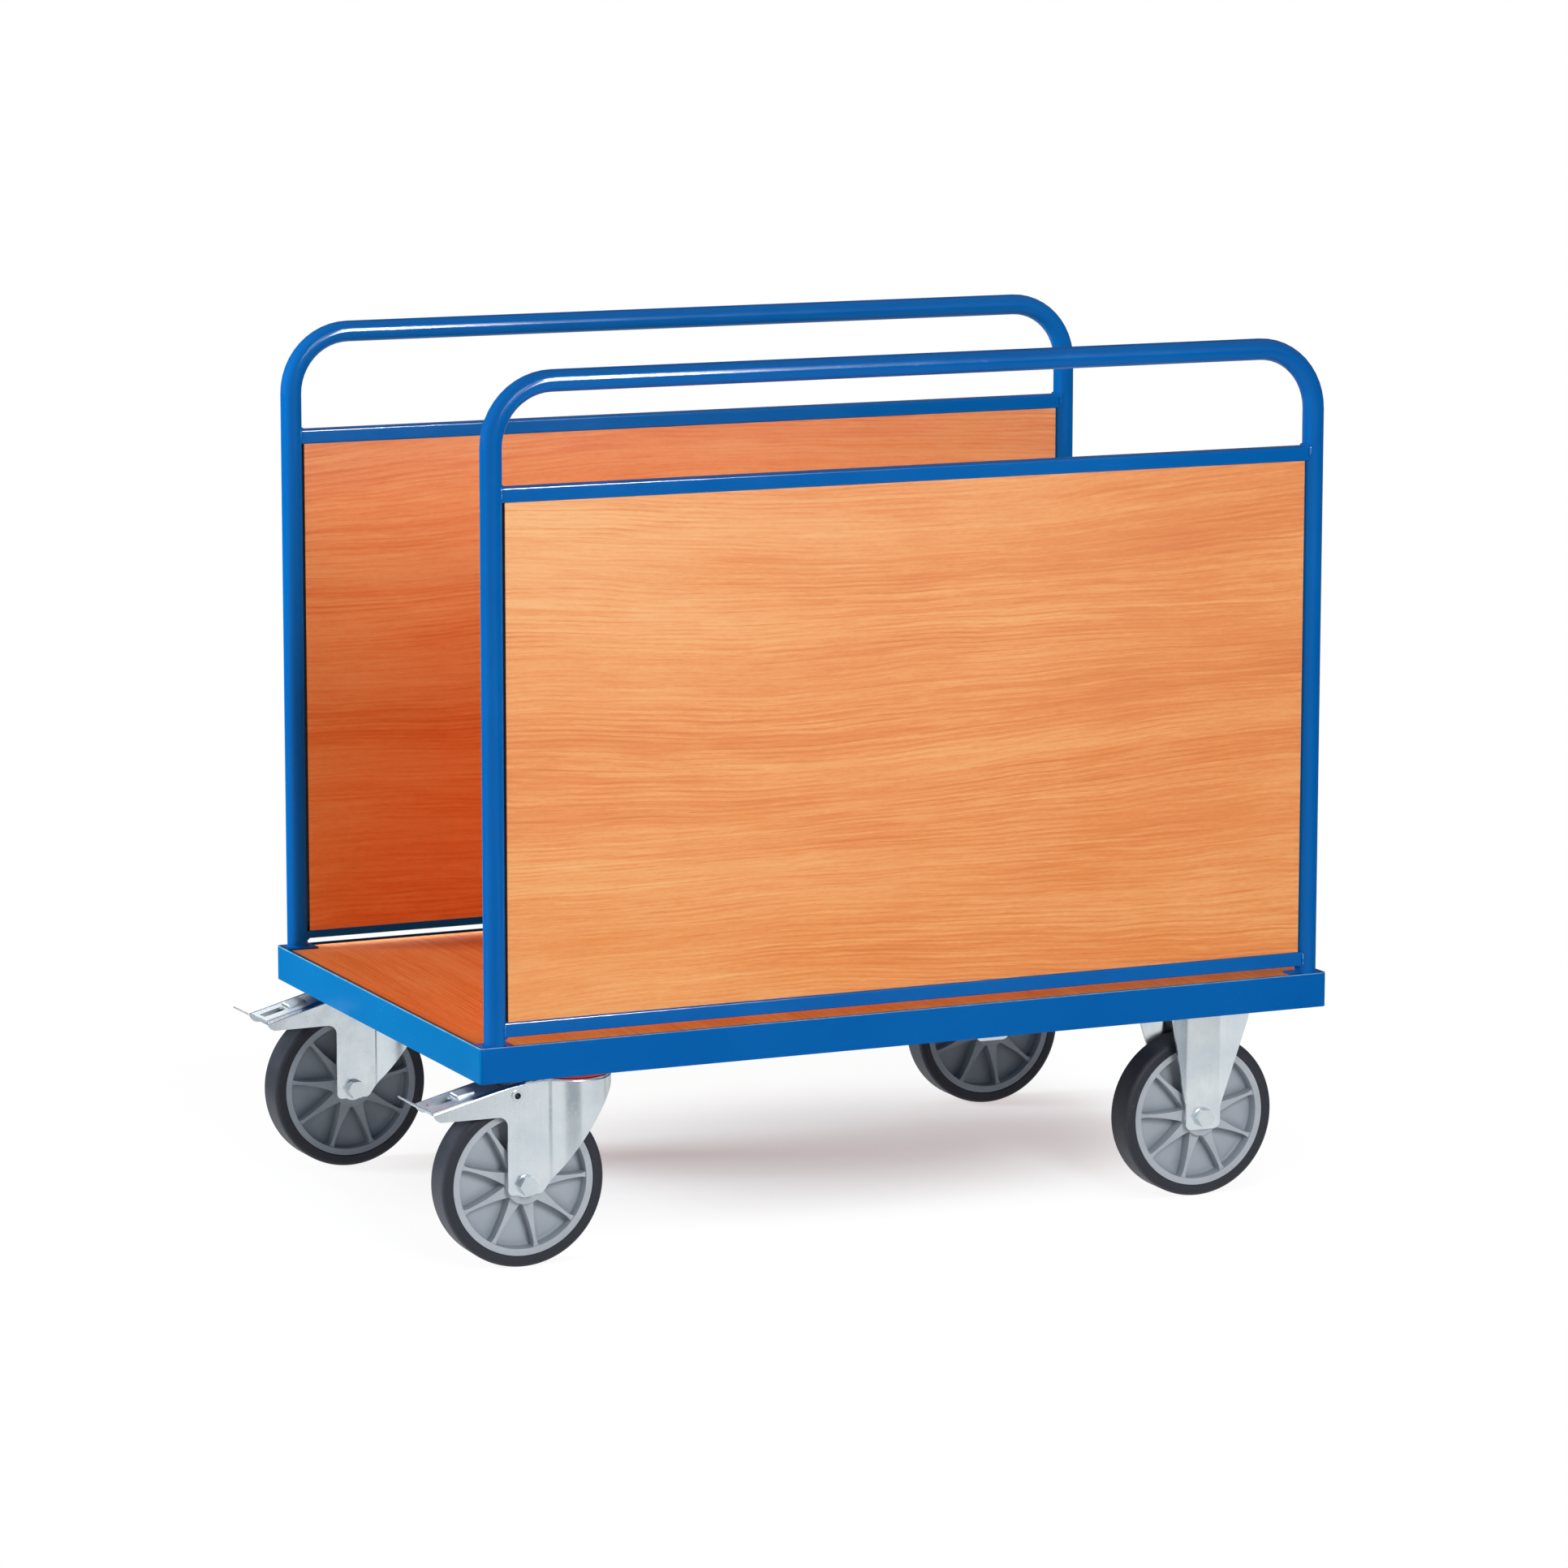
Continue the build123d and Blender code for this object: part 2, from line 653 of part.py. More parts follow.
def kingpin_nut():
    top = crown_top - sheet - side_gap
    return prism(hexagon(kingpin_nut_flats) - Circle(kingpin_d / 2 + fit_gap), top - kingpin_nut_h, top)


def seal():
    low = crown_top + pedal_gap
    band = ring(seal_outer, seal_inner, low, plate_bottom)
    outside = band.edges().filter_by(GeomType.CIRCLE).sort_by(SortBy.RADIUS)[-2:]
    return fillet(outside.sort_by(Axis.Z)[0], seal_edge)


def place_wheel(name, place, spin):
    turned = place * Rot(0, 0, spin)
    pieces["tyre_" + name] = turned * wheel_tyre()
    pieces["rim_" + name] = turned * wheel_rim()
    pieces["bearings_" + name] = [turned * bearing for bearing in wheel_bearings()]


def build_swivel_casters():
    pieces["kingpins"] = []
    pieces["kingpin_nuts"] = []
    plate = caster_plate() - prism(Circle(kingpin_d / 2 + fit_gap), plate_bottom, plate_top)
    race = ring(race_outer, race_inner, crown_top + side_gap, plate_bottom)
    for side, sign in sides.items():
        post = Pos(kingpin_x, sign * caster_y, 0)
        pieces["swivel_plate_" + side] = post * plate
        pieces["swivel_race_" + side] = post * race
        pieces["seal_ring_" + side] = post * seal()
        pieces["kingpins"].append(post * kingpin())
        pieces["kingpin_nuts"].append(post * kingpin_nut())

        place = post * Rot(0, 0, headings[side])
        pieces["swivel_fork_" + side] = place * swivel_fork()
        pieces["axle_bolt_" + side] = place * on_axle(-trail) * axle_bolt()
        pieces["axle_nut_" + side] = place * on_axle(-trail) * axle_nut()
        pieces["axle_sleeve_" + side] = place * on_axle(-trail) * axle_sleeve()
        pieces["pedal_pin_" + side] = place * pedal_pin()
        pieces["brake_pedal_" + side] = place * brake_pedal()
        pieces["brake_shoe_" + side] = place * brake_shoe()
        place_wheel("swivel_" + side, place * on_axle(-trail), swivel_spin[side])


# Fixed casters, about the wheel's axle at X = 0

def fixed_leg():
    # flat over the axle, with a flange bent outwards along each edge
    bend = radians(leg_bend)
    half = leg_flat / 2
    rise = plate_width / 2 - leg_margin - cheek_out
    run = rise / tan(bend)
    inset = sheet * tan(bend / 2)
    tip = (half + run, cheek_out + rise)
    inner_tip = (tip[0] + sheet * sin(bend), tip[1] - sheet * cos(bend))
    outer = FilletPolyline(
        (-tip[0], -tip[1]),
        (-half, -cheek_out),
        (half, -cheek_out),
        (tip[0], -tip[1]),
        radius=leg_bend_radius,
    )
    inner = FilletPolyline(
        (-inner_tip[0], -inner_tip[1]),
        (-half - inset, -cheek_in),
        (half + inset, -cheek_in),
        (inner_tip[0], -inner_tip[1]),
        radius=leg_bend_radius + sheet,
    )
    plan = make_face(outer + inner + Line(outer @ 0, inner @ 0) + Line(outer @ 1, inner @ 1))
    low = axle_z - leg_below
    taper = axle_z + leg_taper_from
    edge = FilletPolyline(
        (inner_tip[0], plate_bottom),
        (half, taper),
        (half, low),
        (-half, low),
        (-half, taper),
        (-inner_tip[0], plate_bottom),
        radius=[leg_taper_bend, leg_corner, leg_corner, leg_taper_bend],
    )
    view = make_face(edge + Line(edge @ 1, edge @ 0))
    return prism(plan, low, plate_bottom) & across(view, wide)


def fixed_fork():
    leg = fixed_leg()
    fork = caster_plate() + leg + mirror(leg, Plane.XZ)
    return fork - on_axle(0) * prism(Circle(axle_d / 2 + fit_gap), -wide, wide)


def build_fixed_casters():
    fasteners = {
        "fixed_axle_bolts": axle_bolt,
        "fixed_axle_nuts": axle_nut,
        "fixed_axle_sleeves": axle_sleeve,
    }
    for name in fasteners:
        pieces[name] = []
    for side, sign in sides.items():
        place = Pos(fixed_x, sign * caster_y, 0)
        pieces["fixed_fork_" + side] = place * fixed_fork()
        for name, make in fasteners.items():
            pieces[name].append(place * on_axle(0) * make())
        place_wheel("fixed_" + side, place * on_axle(0), fixed_spin[side])


def export_pieces():
    os.makedirs("parts", exist_ok=True)
    shift = Pos(frame_shift, 0, 0)
    for name, piece in pieces.items():
        if isinstance(piece, list):
            shape = Compound([shift * one.solid() for one in piece])
        else:
            shape = shift * piece.solid()
        export_step(shape, "parts/" + name + ".step")


build_rim()
build_deck()
build_carriers()
build_sides()
build_swivel_casters()
build_fixed_casters()
export_pieces()
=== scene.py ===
import bpy
import bmesh
import json
from math import atan2, cos, pi, radians, sin, sqrt
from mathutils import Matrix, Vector, noise

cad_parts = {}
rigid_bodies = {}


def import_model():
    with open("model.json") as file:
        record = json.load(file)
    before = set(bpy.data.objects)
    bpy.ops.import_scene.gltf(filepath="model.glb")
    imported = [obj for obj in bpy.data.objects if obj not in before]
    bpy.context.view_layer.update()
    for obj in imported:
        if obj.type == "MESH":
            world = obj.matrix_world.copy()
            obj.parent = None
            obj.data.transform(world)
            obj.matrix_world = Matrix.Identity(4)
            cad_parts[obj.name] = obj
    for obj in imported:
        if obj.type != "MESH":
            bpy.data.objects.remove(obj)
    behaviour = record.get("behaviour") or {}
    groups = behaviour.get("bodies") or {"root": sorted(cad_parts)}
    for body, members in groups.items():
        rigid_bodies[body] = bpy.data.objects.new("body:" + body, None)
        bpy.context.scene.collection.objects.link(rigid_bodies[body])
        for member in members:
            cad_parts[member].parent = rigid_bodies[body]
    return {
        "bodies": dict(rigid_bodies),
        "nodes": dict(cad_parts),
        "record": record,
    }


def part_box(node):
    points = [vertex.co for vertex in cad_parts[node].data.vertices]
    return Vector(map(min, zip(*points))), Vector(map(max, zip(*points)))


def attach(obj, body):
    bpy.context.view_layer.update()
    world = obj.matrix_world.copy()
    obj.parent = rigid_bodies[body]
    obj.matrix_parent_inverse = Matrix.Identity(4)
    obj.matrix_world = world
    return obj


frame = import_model()
nodes = frame["nodes"]
loaded = set(nodes.values()) | set(frame["bodies"].values())
for stray in list(bpy.data.objects):  # the start-up cube, lamp and camera
    if stray not in loaded:
        bpy.data.objects.remove(stray)
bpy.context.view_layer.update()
scene = bpy.context.scene
scene.view_settings.view_transform = "Standard"
print("frame loaded:", len(nodes), "CAD nodes")


# camera, from the fit to the photo's deck, hoop and wheel outlines
cameraFit = {
    "focalPixels": 7642.26,
    "imageSide": 1932,
    "sensor": 36.0,  # millimetres
    "place": (-3.22043, -7.1476, 1.8242),
    "tilt": (80.518, -0.04, -24.382),  # degrees
    "reach": 200.0,
}
photoCamera = bpy.data.cameras.new("photoCamera")
photoCamera.sensor_width = cameraFit["sensor"]
photoCamera.lens = cameraFit["focalPixels"] * cameraFit["sensor"] / cameraFit["imageSide"]
photoCamera.clip_end = cameraFit["reach"]
cameraRig = bpy.data.objects.new("photoCamera", photoCamera)
scene.collection.objects.link(cameraRig)
cameraRig.location = cameraFit["place"]
cameraRig.rotation_euler = [radians(turn) for turn in cameraFit["tilt"]]
scene.camera = cameraRig
print("camera placed")


# small helpers for node trees
def addNode(tree, kind, inputs=None, **settings):
    made = tree.nodes.new("ShaderNode" + kind)
    for key, value in settings.items():
        setattr(made, key, value)
    for key, value in (inputs or {}).items():
        feed(tree, value, made.inputs[key])
    return made


def feed(tree, value, socket):
    if isinstance(value, bpy.types.NodeSocket):
        tree.links.new(value, socket)
    elif value is not None:
        socket.default_value = value


def calc(tree, operation, *values, clamp=False):
    made = tree.nodes.new("ShaderNodeMath")
    made.operation = operation
    made.use_clamp = clamp
    for place, value in enumerate(values):
        feed(tree, value, made.inputs[place])
    return made.outputs[0]


def spread(tree, value, low, high, toLow=0.0, toHigh=1.0):  # remap with clamping
    limits = {"From Min": low, "From Max": high, "To Min": toLow, "To Max": toHigh}
    return addNode(tree, "MapRange", {"Value": value, **limits}).outputs[0]


def mixColour(tree, factor, first, second):
    made = tree.nodes.new("ShaderNodeMix")
    made.data_type = "RGBA"
    feed(tree, factor, made.inputs[0])
    feed(tree, first, made.inputs[6])
    feed(tree, second, made.inputs[7])
    return made.outputs[2]


def stretched(tree, vector, stretch, shift=(0, 0, 0)):
    inputs = {0: vector, 1: stretch, 2: shift}
    return addNode(tree, "VectorMath", inputs, operation="MULTIPLY_ADD").outputs[0]


def cloud(tree, vector, scale, detail=2.0, rough=0.5):
    inputs = {"Vector": vector, "Scale": scale, "Detail": detail, "Roughness": rough}
    return addNode(tree, "TexNoise", inputs).outputs["Fac"]


def newGroup(name, inputs, outputs):
    tree = bpy.data.node_groups.new(name, "ShaderNodeTree")
    for label, kind, start in inputs:
        socket = tree.interface.new_socket(label, in_out="INPUT", socket_type="NodeSocket" + kind)
        if start is not None:
            socket.default_value = start
    for label, kind in outputs:
        tree.interface.new_socket(label, in_out="OUTPUT", socket_type="NodeSocket" + kind)
    return tree, tree.nodes.new("NodeGroupInput").outputs, tree.nodes.new("NodeGroupOutput").inputs


def placeGroup(tree, group, inputs):
    made = tree.nodes.new("ShaderNodeGroup")
    made.node_tree = group
    for key, value in inputs.items():
        feed(tree, value, made.inputs[key])
    return made.outputs


def newMaterial(name, plain):
    material = bpy.data.materials.new(name)
    material.use_nodes = True
    tree = material.node_tree
    shader = tree.nodes["Principled BSDF"]
    for key, value in plain.items():  # values that are the same all over
        shader.inputs[key].default_value = value
    place = addNode(tree, "TexCoord").outputs
    return material, tree, shader.inputs, place


def addBump(tree, height, distance, strength):
    inputs = {"Height": height, "Distance": distance, "Strength": strength}
    return addNode(tree, "Bump", inputs).outputs[0]


def insetFrom(tree, parts, low, high):  # how far inside a rectangle, seen from above
    sides = []
    for way, axis in enumerate("XY"):
        sides.append(calc(tree, "SUBTRACT", parts[axis], low[way]))
        sides.append(calc(tree, "SUBTRACT", high[way], parts[axis]))
    inset = sides[0]
    for side in sides[1:]:
        inset = calc(tree, "MINIMUM", inset, side)
    return inset


# grit, broad clouds and dust that every finish has; a cloud is its scale, detail and roughness
surfaceLook = {
    "gritDetail": 1.0,
    "broad": (4.0, 0.55),
    "broadRange": (0.3, 0.7),
    "specks": (210.0, 3.0, 0.7),
    "speckRange": (0.58, 0.74),
    "dustPatches": (14.0, 3.0),
    "dustRange": (0.42, 0.68),
}


def makeSurfaceGroup():
    tree, given, result = newGroup(
        "surfaceSkin",
        [("Vector", "Vector", None), ("Grit Scale", "Float", 900.0), ("Cloud Scale", "Float", 9.0)],
        [("Grit", "Float"), ("Cloud", "Float"), ("Dust", "Float")],
    )
    spot = given["Vector"]
    tree.links.new(cloud(tree, spot, given["Grit Scale"], surfaceLook["gritDetail"]), result["Grit"])
    broad = cloud(tree, spot, given["Cloud Scale"], *surfaceLook["broad"])
    tree.links.new(spread(tree, broad, *surfaceLook["broadRange"]), result["Cloud"])
    specks = spread(tree, cloud(tree, spot, *surfaceLook["specks"]), *surfaceLook["speckRange"])
    patches = spread(tree, cloud(tree, spot, *surfaceLook["dustPatches"]), *surfaceLook["dustRange"])
    tree.links.new(calc(tree, "MULTIPLY", specks, patches), result["Dust"])
    return tree


# hairlines and rubbed patches on the metal; on the rim's edge the hairlines break up a painted highlight
scuffLook = {
    "lines": (1.0, 2.0, 0.6),
    "lineRange": (0.35, 0.65),
    "patches": (26.0, 3.0, 0.6),
    "patchRange": (0.35, 0.68),
}


def makeScuffGroup():
    tree, given, result = newGroup(
        "hairlineScuffs",
        [("Vector", "Vector", None), ("Along", "Vector", (20.0, 20.0, 700.0))],
        [("Lines", "Float"), ("Patches", "Float")],
    )
    inputs = {0: given["Vector"], 1: given["Along"]}
    drawn = addNode(tree, "VectorMath", inputs, operation="MULTIPLY").outputs[0]
    lines = cloud(tree, drawn, *scuffLook["lines"])
    tree.links.new(spread(tree, lines, *scuffLook["lineRange"]), result["Lines"])
    patches = cloud(tree, given["Vector"], *scuffLook["patches"])
    tree.links.new(spread(tree, patches, *scuffLook["patchRange"]), result["Patches"])
    return tree


# the figure of beech, as layers of noise drawn out along the grain
grainLook = {
    # how often along and across the grain in a metre, shift, detail, roughness
    "layers": {
        "bend": ((1.1, 2.6), (0, 0), 1.0, 0.5),
        "ripple": ((6.0, 16.0), (3, 7), 1.5, 0.5),
        "bands": ((0.8, 15.0), (5, 2), 2.0, 0.5),
        "lineZone": ((1.8, 13.0), (9, 5), 2.0, 0.5),
        "broadLines": ((1.0, 150.0), (1, 4), 1.0, 0.5),
        "fineLines": ((2.2, 330.0), (7, 6), 1.0, 0.5),
        "drawnLines": ((1.6, 60.0), (3, 9), 1.5, 0.5),
        "paleLines": ((2.2, 75.0), (8, 1), 1.5, 0.5),
        "fibres": ((20.0, 380.0), (2, 8), 1.0, 0.6),
        "silk": ((85.0, 800.0), (0, 0), 1.0, 0.5),
        "bloom": ((4.0, 11.0), (4, 1), 1.0, 0.5),
        "ringSpacing": ((0.7, 11.0), (2, 5), 1.0, 0.5),
        "dashes": ((16.0, 260.0), (5, 9), 1.0, 0.6),
        "pores": ((110.0, 1100.0), (6, 3), 0.0, 0.5),
    },
    # from, to and the values there, where a layer is cut to a narrower range
    "ranges": {
        "lineZone": (0.36, 0.58, 0.30, 1.0),
        "broadLines": (0.50, 0.66),
        "fineLines": (0.48, 0.68),
        "rings": (-0.1, 1.0),
        "dashes": (0.36, 0.58, 0.15, 1.0),
        "pores": (0.64, 0.76),
    },
    "lineWidths": {"drawnLines": 0.055, "paleLines": 0.05},
    "wander": {"bend": 0.11, "ripple": 0.012},  # metres
    "ringTurns": 1050.0,  # radians of ring for each metre across the grain
    "ringShift": 22.0,
    "middle": 0.60,
    # how much each layer tells in the tone; the dips are lines darker than the wood round them
    "dips": {"broadLines": 0.07, "fineLines": 0.14, "drawnLines": 0.16, "rings": 0.26},
    "swings": {"fibres": 0.42, "silk": 0.36, "bloom": 0.28},
    "bands": 0.62,
    "paleLines": 0.12,
    "pores": -0.10,
}


def grainLayer(tree, vector, name):
    (along, across), (shiftAlong, shiftAcross), detail, rough = grainLook["layers"][name]
    drawnOut = stretched(tree, vector, (along, across, 1.0), (shiftAlong, shiftAcross, 0))
    layer = cloud(tree, drawnOut, 1.0, detail, rough)
    if name in grainLook["lineWidths"]:  # thin lines where the cloud crosses its middle
        offMiddle = calc(tree, "ABSOLUTE", calc(tree, "SUBTRACT", layer, 0.5))
        return spread(tree, offMiddle, 0.0, grainLook["lineWidths"][name], 1.0, 0.0)
    if name in grainLook["ranges"]:
        return spread(tree, layer, *grainLook["ranges"][name])
    return layer


def swing(tree, layer, weight, tone):  # adds a layer that goes both ways from its middle
    return calc(tree, "MULTIPLY_ADD", calc(tree, "SUBTRACT", layer, 0.5), weight, tone)


def makeBeechGroup():
    # Vector runs along the grain, across it and through the board, in metres
    tree, given, result = newGroup(
        "beechFigure",
        [("Vector", "Vector", None), ("Waviness", "Float", 1.0), ("Line Depth", "Float", 1.0)],
        [("Tone", "Float"), ("Pores", "Float")],
    )
    grain = given["Vector"]
    drift = 0.0
    for name, metres in grainLook["wander"].items():
        drift = swing(tree, grainLayer(tree, grain, name), metres, drift)
    drift = calc(tree, "MULTIPLY", drift, given["Waviness"])
    push = addNode(tree, "CombineXYZ", {"Y": drift}).outputs[0]
    flow = addNode(tree, "VectorMath", {0: grain, 1: push}, operation="ADD").outputs[0]

    # growth rings that close up and open out, broken into dashes
    across = addNode(tree, "SeparateXYZ", {0: flow}).outputs["Y"]
    spacing = calc(tree, "MULTIPLY", grainLayer(tree, flow, "ringSpacing"), grainLook["ringShift"])
    rings = calc(tree, "SINE", calc(tree, "MULTIPLY_ADD", across, grainLook["ringTurns"], spacing))
    rings = spread(tree, rings, *grainLook["ranges"]["rings"])
    rings = calc(tree, "MULTIPLY", rings, grainLayer(tree, flow, "dashes"))

    dip = 0.0
    for name, weight in grainLook["dips"].items():
        lines = rings if name == "rings" else grainLayer(tree, flow, name)
        dip = calc(tree, "MULTIPLY_ADD", lines, weight, dip)
    dip = calc(tree, "MULTIPLY", dip, grainLayer(tree, flow, "lineZone"))
    dip = calc(tree, "MULTIPLY", dip, given["Line Depth"])

    tone = swing(tree, grainLayer(tree, flow, "bands"), grainLook["bands"], grainLook["middle"])
    tone = calc(tree, "SUBTRACT", tone, dip)
    tone = calc(tree, "MULTIPLY_ADD", grainLayer(tree, flow, "paleLines"), grainLook["paleLines"], tone)
    for name, weight in grainLook["swings"].items():
        tone = swing(tree, grainLayer(tree, grain if name == "bloom" else flow, name), weight, tone)
    pores = grainLayer(tree, flow, "pores")
    tone = calc(tree, "MULTIPLY_ADD", pores, grainLook["pores"], tone, clamp=True)
    tree.links.new(tone, result["Tone"])
    tree.links.new(pores, result["Pores"])
    return tree


surfaceSkin = makeSurfaceGroup()
hairlineScuffs = makeScuffGroup()
beechFigure = makeBeechGroup()
print("shared effects built")


def addSkin(tree, place, finish):
    scales = {"Grit Scale": finish["grit"], "Cloud Scale": finish["clouds"]}
    return placeGroup(tree, surfaceSkin, {"Vector": place["Object"], **scales})


def addScuffs(tree, place, along):
    return placeGroup(tree, hairlineScuffs, {"Vector": place["Object"], "Along": along})


# blue powder coat
framePaint = {
    "blue": (0.0, 0.123, 0.438, 1),
    "deeper": (0.0, 0.111, 0.410, 1),
    "wearAndHighlight": (0.20, 0.42, 0.72, 1),  # painted highlight along the rim's outer top edge, with some rubbing
    "highlightWidth": 0.0017,
    "highlightFade": 0.0004,
    "highlightLeast": 0.55,  # between the scuffs
    "scuffs": (60.0, 60.0, 60.0),
    "seamShade": (0.0, 0.012, 0.05, 1),  # painted shade on the rim's top, where the deck meets it
    "seamShadeDepth": 0.9,
    "topFrom": (0.0014, 0.0004),  # metres below the rim's top where its edge begins and is full
    "grit": 420.0,
    "clouds": 7.0,
    "dustRough": 0.18,
    "bump": (0.00002, 0.6),
    "tube": {"rough": (0.11, 0.15), "plain": {"Specular IOR Level": 0.09}},
    "rim": {"rough": (0.20, 0.26), "plain": {"Specular IOR Level": 0.03}},  # duller sheet
}


def makeFramePaint(name, onRim=False):
    coat = framePaint["rim" if onRim else "tube"]
    material, tree, shader, place = newMaterial(name, coat["plain"])
    skin = addSkin(tree, place, framePaint)
    colour = mixColour(tree, skin["Cloud"], framePaint["deeper"], framePaint["blue"])
    # on the rims: a painted highlight on the outer top edge and painted shade where the deck meets it
    if onRim:
        colour = paintRimHighlightAndShade(tree, place, colour)
    feed(tree, colour, shader["Base Color"])
    rough = spread(tree, skin["Cloud"], 0.0, 1.0, *coat["rough"])
    rough = calc(tree, "MULTIPLY_ADD", skin["Dust"], framePaint["dustRough"], rough)
    feed(tree, rough, shader["Roughness"])
    feed(tree, addBump(tree, skin["Grit"], *framePaint["bump"]), shader["Normal"])
    return material


# paints a highlight along the rim's outer top edge and shade over the rest of its top
def paintRimHighlightAndShade(tree, place, colour):
    parts = addNode(tree, "SeparateXYZ", {0: place["Object"]}).outputs
    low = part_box("end_rail_swivel")[0][0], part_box("side_rail_near")[0][1]
    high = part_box("end_rail_fixed")[1][0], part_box("side_rail_far")[1][1]
    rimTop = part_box("end_rail_swivel")[1][2]
    width = framePaint["highlightWidth"]
    top = spread(tree, parts["Z"], *[rimTop - below for below in framePaint["topFrom"]])
    inset = insetFrom(tree, parts, low, high)
    outer = spread(tree, inset, width, width + framePaint["highlightFade"], 1.0, 0.0)
    scuffs = addScuffs(tree, place, framePaint["scuffs"])
    highlightAndRubbing = spread(tree, scuffs["Lines"], 0, 1, framePaint["highlightLeast"], 1.0)
    highlightAndRubbing = calc(tree, "MULTIPLY", highlightAndRubbing, calc(tree, "MULTIPLY", top, outer))
    # painted highlight along the outer top edge, broken up by the scuff lines
    colour = mixColour(tree, highlightAndRubbing, colour, framePaint["wearAndHighlight"])
    # painted shade over the rest of the rim's top
    inner = calc(tree, "MULTIPLY", top, calc(tree, "SUBTRACT", 1.0, outer))
    return mixColour(tree, calc(tree, "MULTIPLY", inner, framePaint["seamShadeDepth"]), colour, framePaint["seamShade"])


# beech-decor boards, grain along X on the sides and along Y on the deck
beechBoard = {
    "stops": [
        (0.05, (0.70, 0.190, 0.038, 1)),
        (0.36, (0.79, 0.250, 0.056, 1)),
        (0.60, (0.845, 0.335, 0.098, 1)),
        (0.95, (0.90, 0.450, 0.170, 1)),
    ],
    "lineDepth": 1.1,
    # a pale upper corner, after the photo's light, in metres
    "sheenX": (-0.50, 0.05, 1.0, 0.0),  # painted sheen on the upper left corner, in metres
    "sheenZ": (0.74, 0.95),
    "rightShadeX": (0.0, 0.5, 0.0, -0.09),  # and painted shade towards the right end
    "edgeFacing": 0.6,  # faces turned further than this from the board's own are cut edges
    "cutEdgeShade": (0.10, 0.055, 0.03, 1),  # painted shade of the gaps by the posts, in dark brown
    "cutEdgeShadeFigure": 0.1,  # how much of the figure shows through
    "backing": (0.085, 0.075, 0.068, 1),  # plain dark sheet under the deck
    "backingFigure": 0.06,
    "borderShadeWidth": 0.0045,  # painted shade: a dark line where the deck meets the rim
    "borderShadeWander": 0.001,
    "borderShadeRange": (0.55, 1.0, 0.85, 0.0),
    "grit": 1500.0,
    "clouds": 6.0,
    "rough": (0.40, 0.50),
    "poreRough": 0.12,
    "gritHeight": 0.35,
    "bump": (0.00008, 0.5),
    "plain": {"Specular IOR Level": 0.09},
    "boards": {
        # the deck is made darker and redder: partly its own tone, partly painted shade between the boards
        "deck_panel": {"name": "beechDeck", "alongY": True, "shift": (0.37, 1.9, 0), "waviness": 0.6,
                       "shade": (0.91, 0.74, 0.75)},
        "side_panel_near": {"name": "beechNear", "shift": (1.24, 0.31, 0), "sheenCorner": 0.34},
        "side_panel_far": {"name": "beechFar", "shift": (7.51, 2.63, 3.0)},
    },
}


def makeBeech(name, shift, waviness=1.0, alongY=False, shade=(1, 1, 1), sheenCorner=0.0):
    material, tree, shader, place = newMaterial(name, beechBoard["plain"])
    parts = addNode(tree, "SeparateXYZ", {0: place["Object"]}).outputs
    along, across = (parts["Y"], parts["X"]) if alongY else (parts["X"], parts["Z"])
    grain = addNode(tree, "CombineXYZ", {"X": along, "Y": across}).outputs[0]
    grain = stretched(tree, grain, (1, 1, 1), shift)
    values = {"Vector": grain, "Waviness": waviness, "Line Depth": beechBoard["lineDepth"]}
    figure = placeGroup(tree, beechFigure, values)
    tone = figure["Tone"]
    # painted sheen on the upper left corner and painted shade towards the right end
    if sheenCorner:
        deeper = calc(tree, "ADD", tone, spread(tree, parts["X"], *beechBoard["rightShadeX"]))
        sheenAlong = spread(tree, parts["X"], *beechBoard["sheenX"])
        corner = calc(tree, "MULTIPLY", sheenAlong, spread(tree, parts["Z"], *beechBoard["sheenZ"]))
        tone = calc(tree, "MULTIPLY_ADD", corner, sheenCorner, deeper)
    ramp = addNode(tree, "ValToRGB", {"Fac": tone})
    stops = ramp.color_ramp.elements
    while len(stops) < len(beechBoard["stops"]):
        stops.new(0.5)
    for stop, (spot, colour) in zip(stops, beechBoard["stops"]):
        stop.position = spot
        stop.color = [part * dim for part, dim in zip(colour, shade + (1,))]
    wood = ramp.outputs["Color"]

    facing = addNode(tree, "SeparateXYZ", {0: place["Normal"]}).outputs["Z" if alongY else "Y"]
    edge = calc(tree, "LESS_THAN", calc(tree, "ABSOLUTE", facing), beechBoard["edgeFacing"])
    if alongY:  # painted shade along the deck's border
        inset = insetFrom(tree, parts, *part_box("deck_panel"))
        width = calc(tree, "MULTIPLY_ADD", figure["Tone"], beechBoard["borderShadeWander"], beechBoard["borderShadeWidth"])
        borderShade = spread(tree, calc(tree, "DIVIDE", inset, width), *beechBoard["borderShadeRange"])
        edge = calc(tree, "MAXIMUM", edge, borderShade)
    # painted shade on the cut edges and, on the deck, along its border
    through = calc(tree, "MULTIPLY", figure["Tone"], beechBoard["cutEdgeShadeFigure"])
    board = mixColour(tree, edge, wood, mixColour(tree, through, beechBoard["cutEdgeShade"], wood))
    if alongY:
        through = calc(tree, "MULTIPLY", figure["Tone"], beechBoard["backingFigure"])
        under = calc(tree, "LESS_THAN", facing, -beechBoard["edgeFacing"])
        board = mixColour(tree, under, board, mixColour(tree, through, beechBoard["backing"], wood))
    feed(tree, board, shader["Base Color"])

    skin = addSkin(tree, place, beechBoard)
    rough = spread(tree, skin["Cloud"], 0.0, 1.0, *beechBoard["rough"])
    rough = calc(tree, "MULTIPLY_ADD", figure["Pores"], beechBoard["poreRough"], rough)
    feed(tree, rough, shader["Roughness"])
    grit = calc(tree, "MULTIPLY", skin["Grit"], beechBoard["gritHeight"])
    height = calc(tree, "MULTIPLY_ADD", figure["Pores"], -1.0, grit)
    feed(tree, addBump(tree, height, *beechBoard["bump"]), shader["Normal"])
    return material


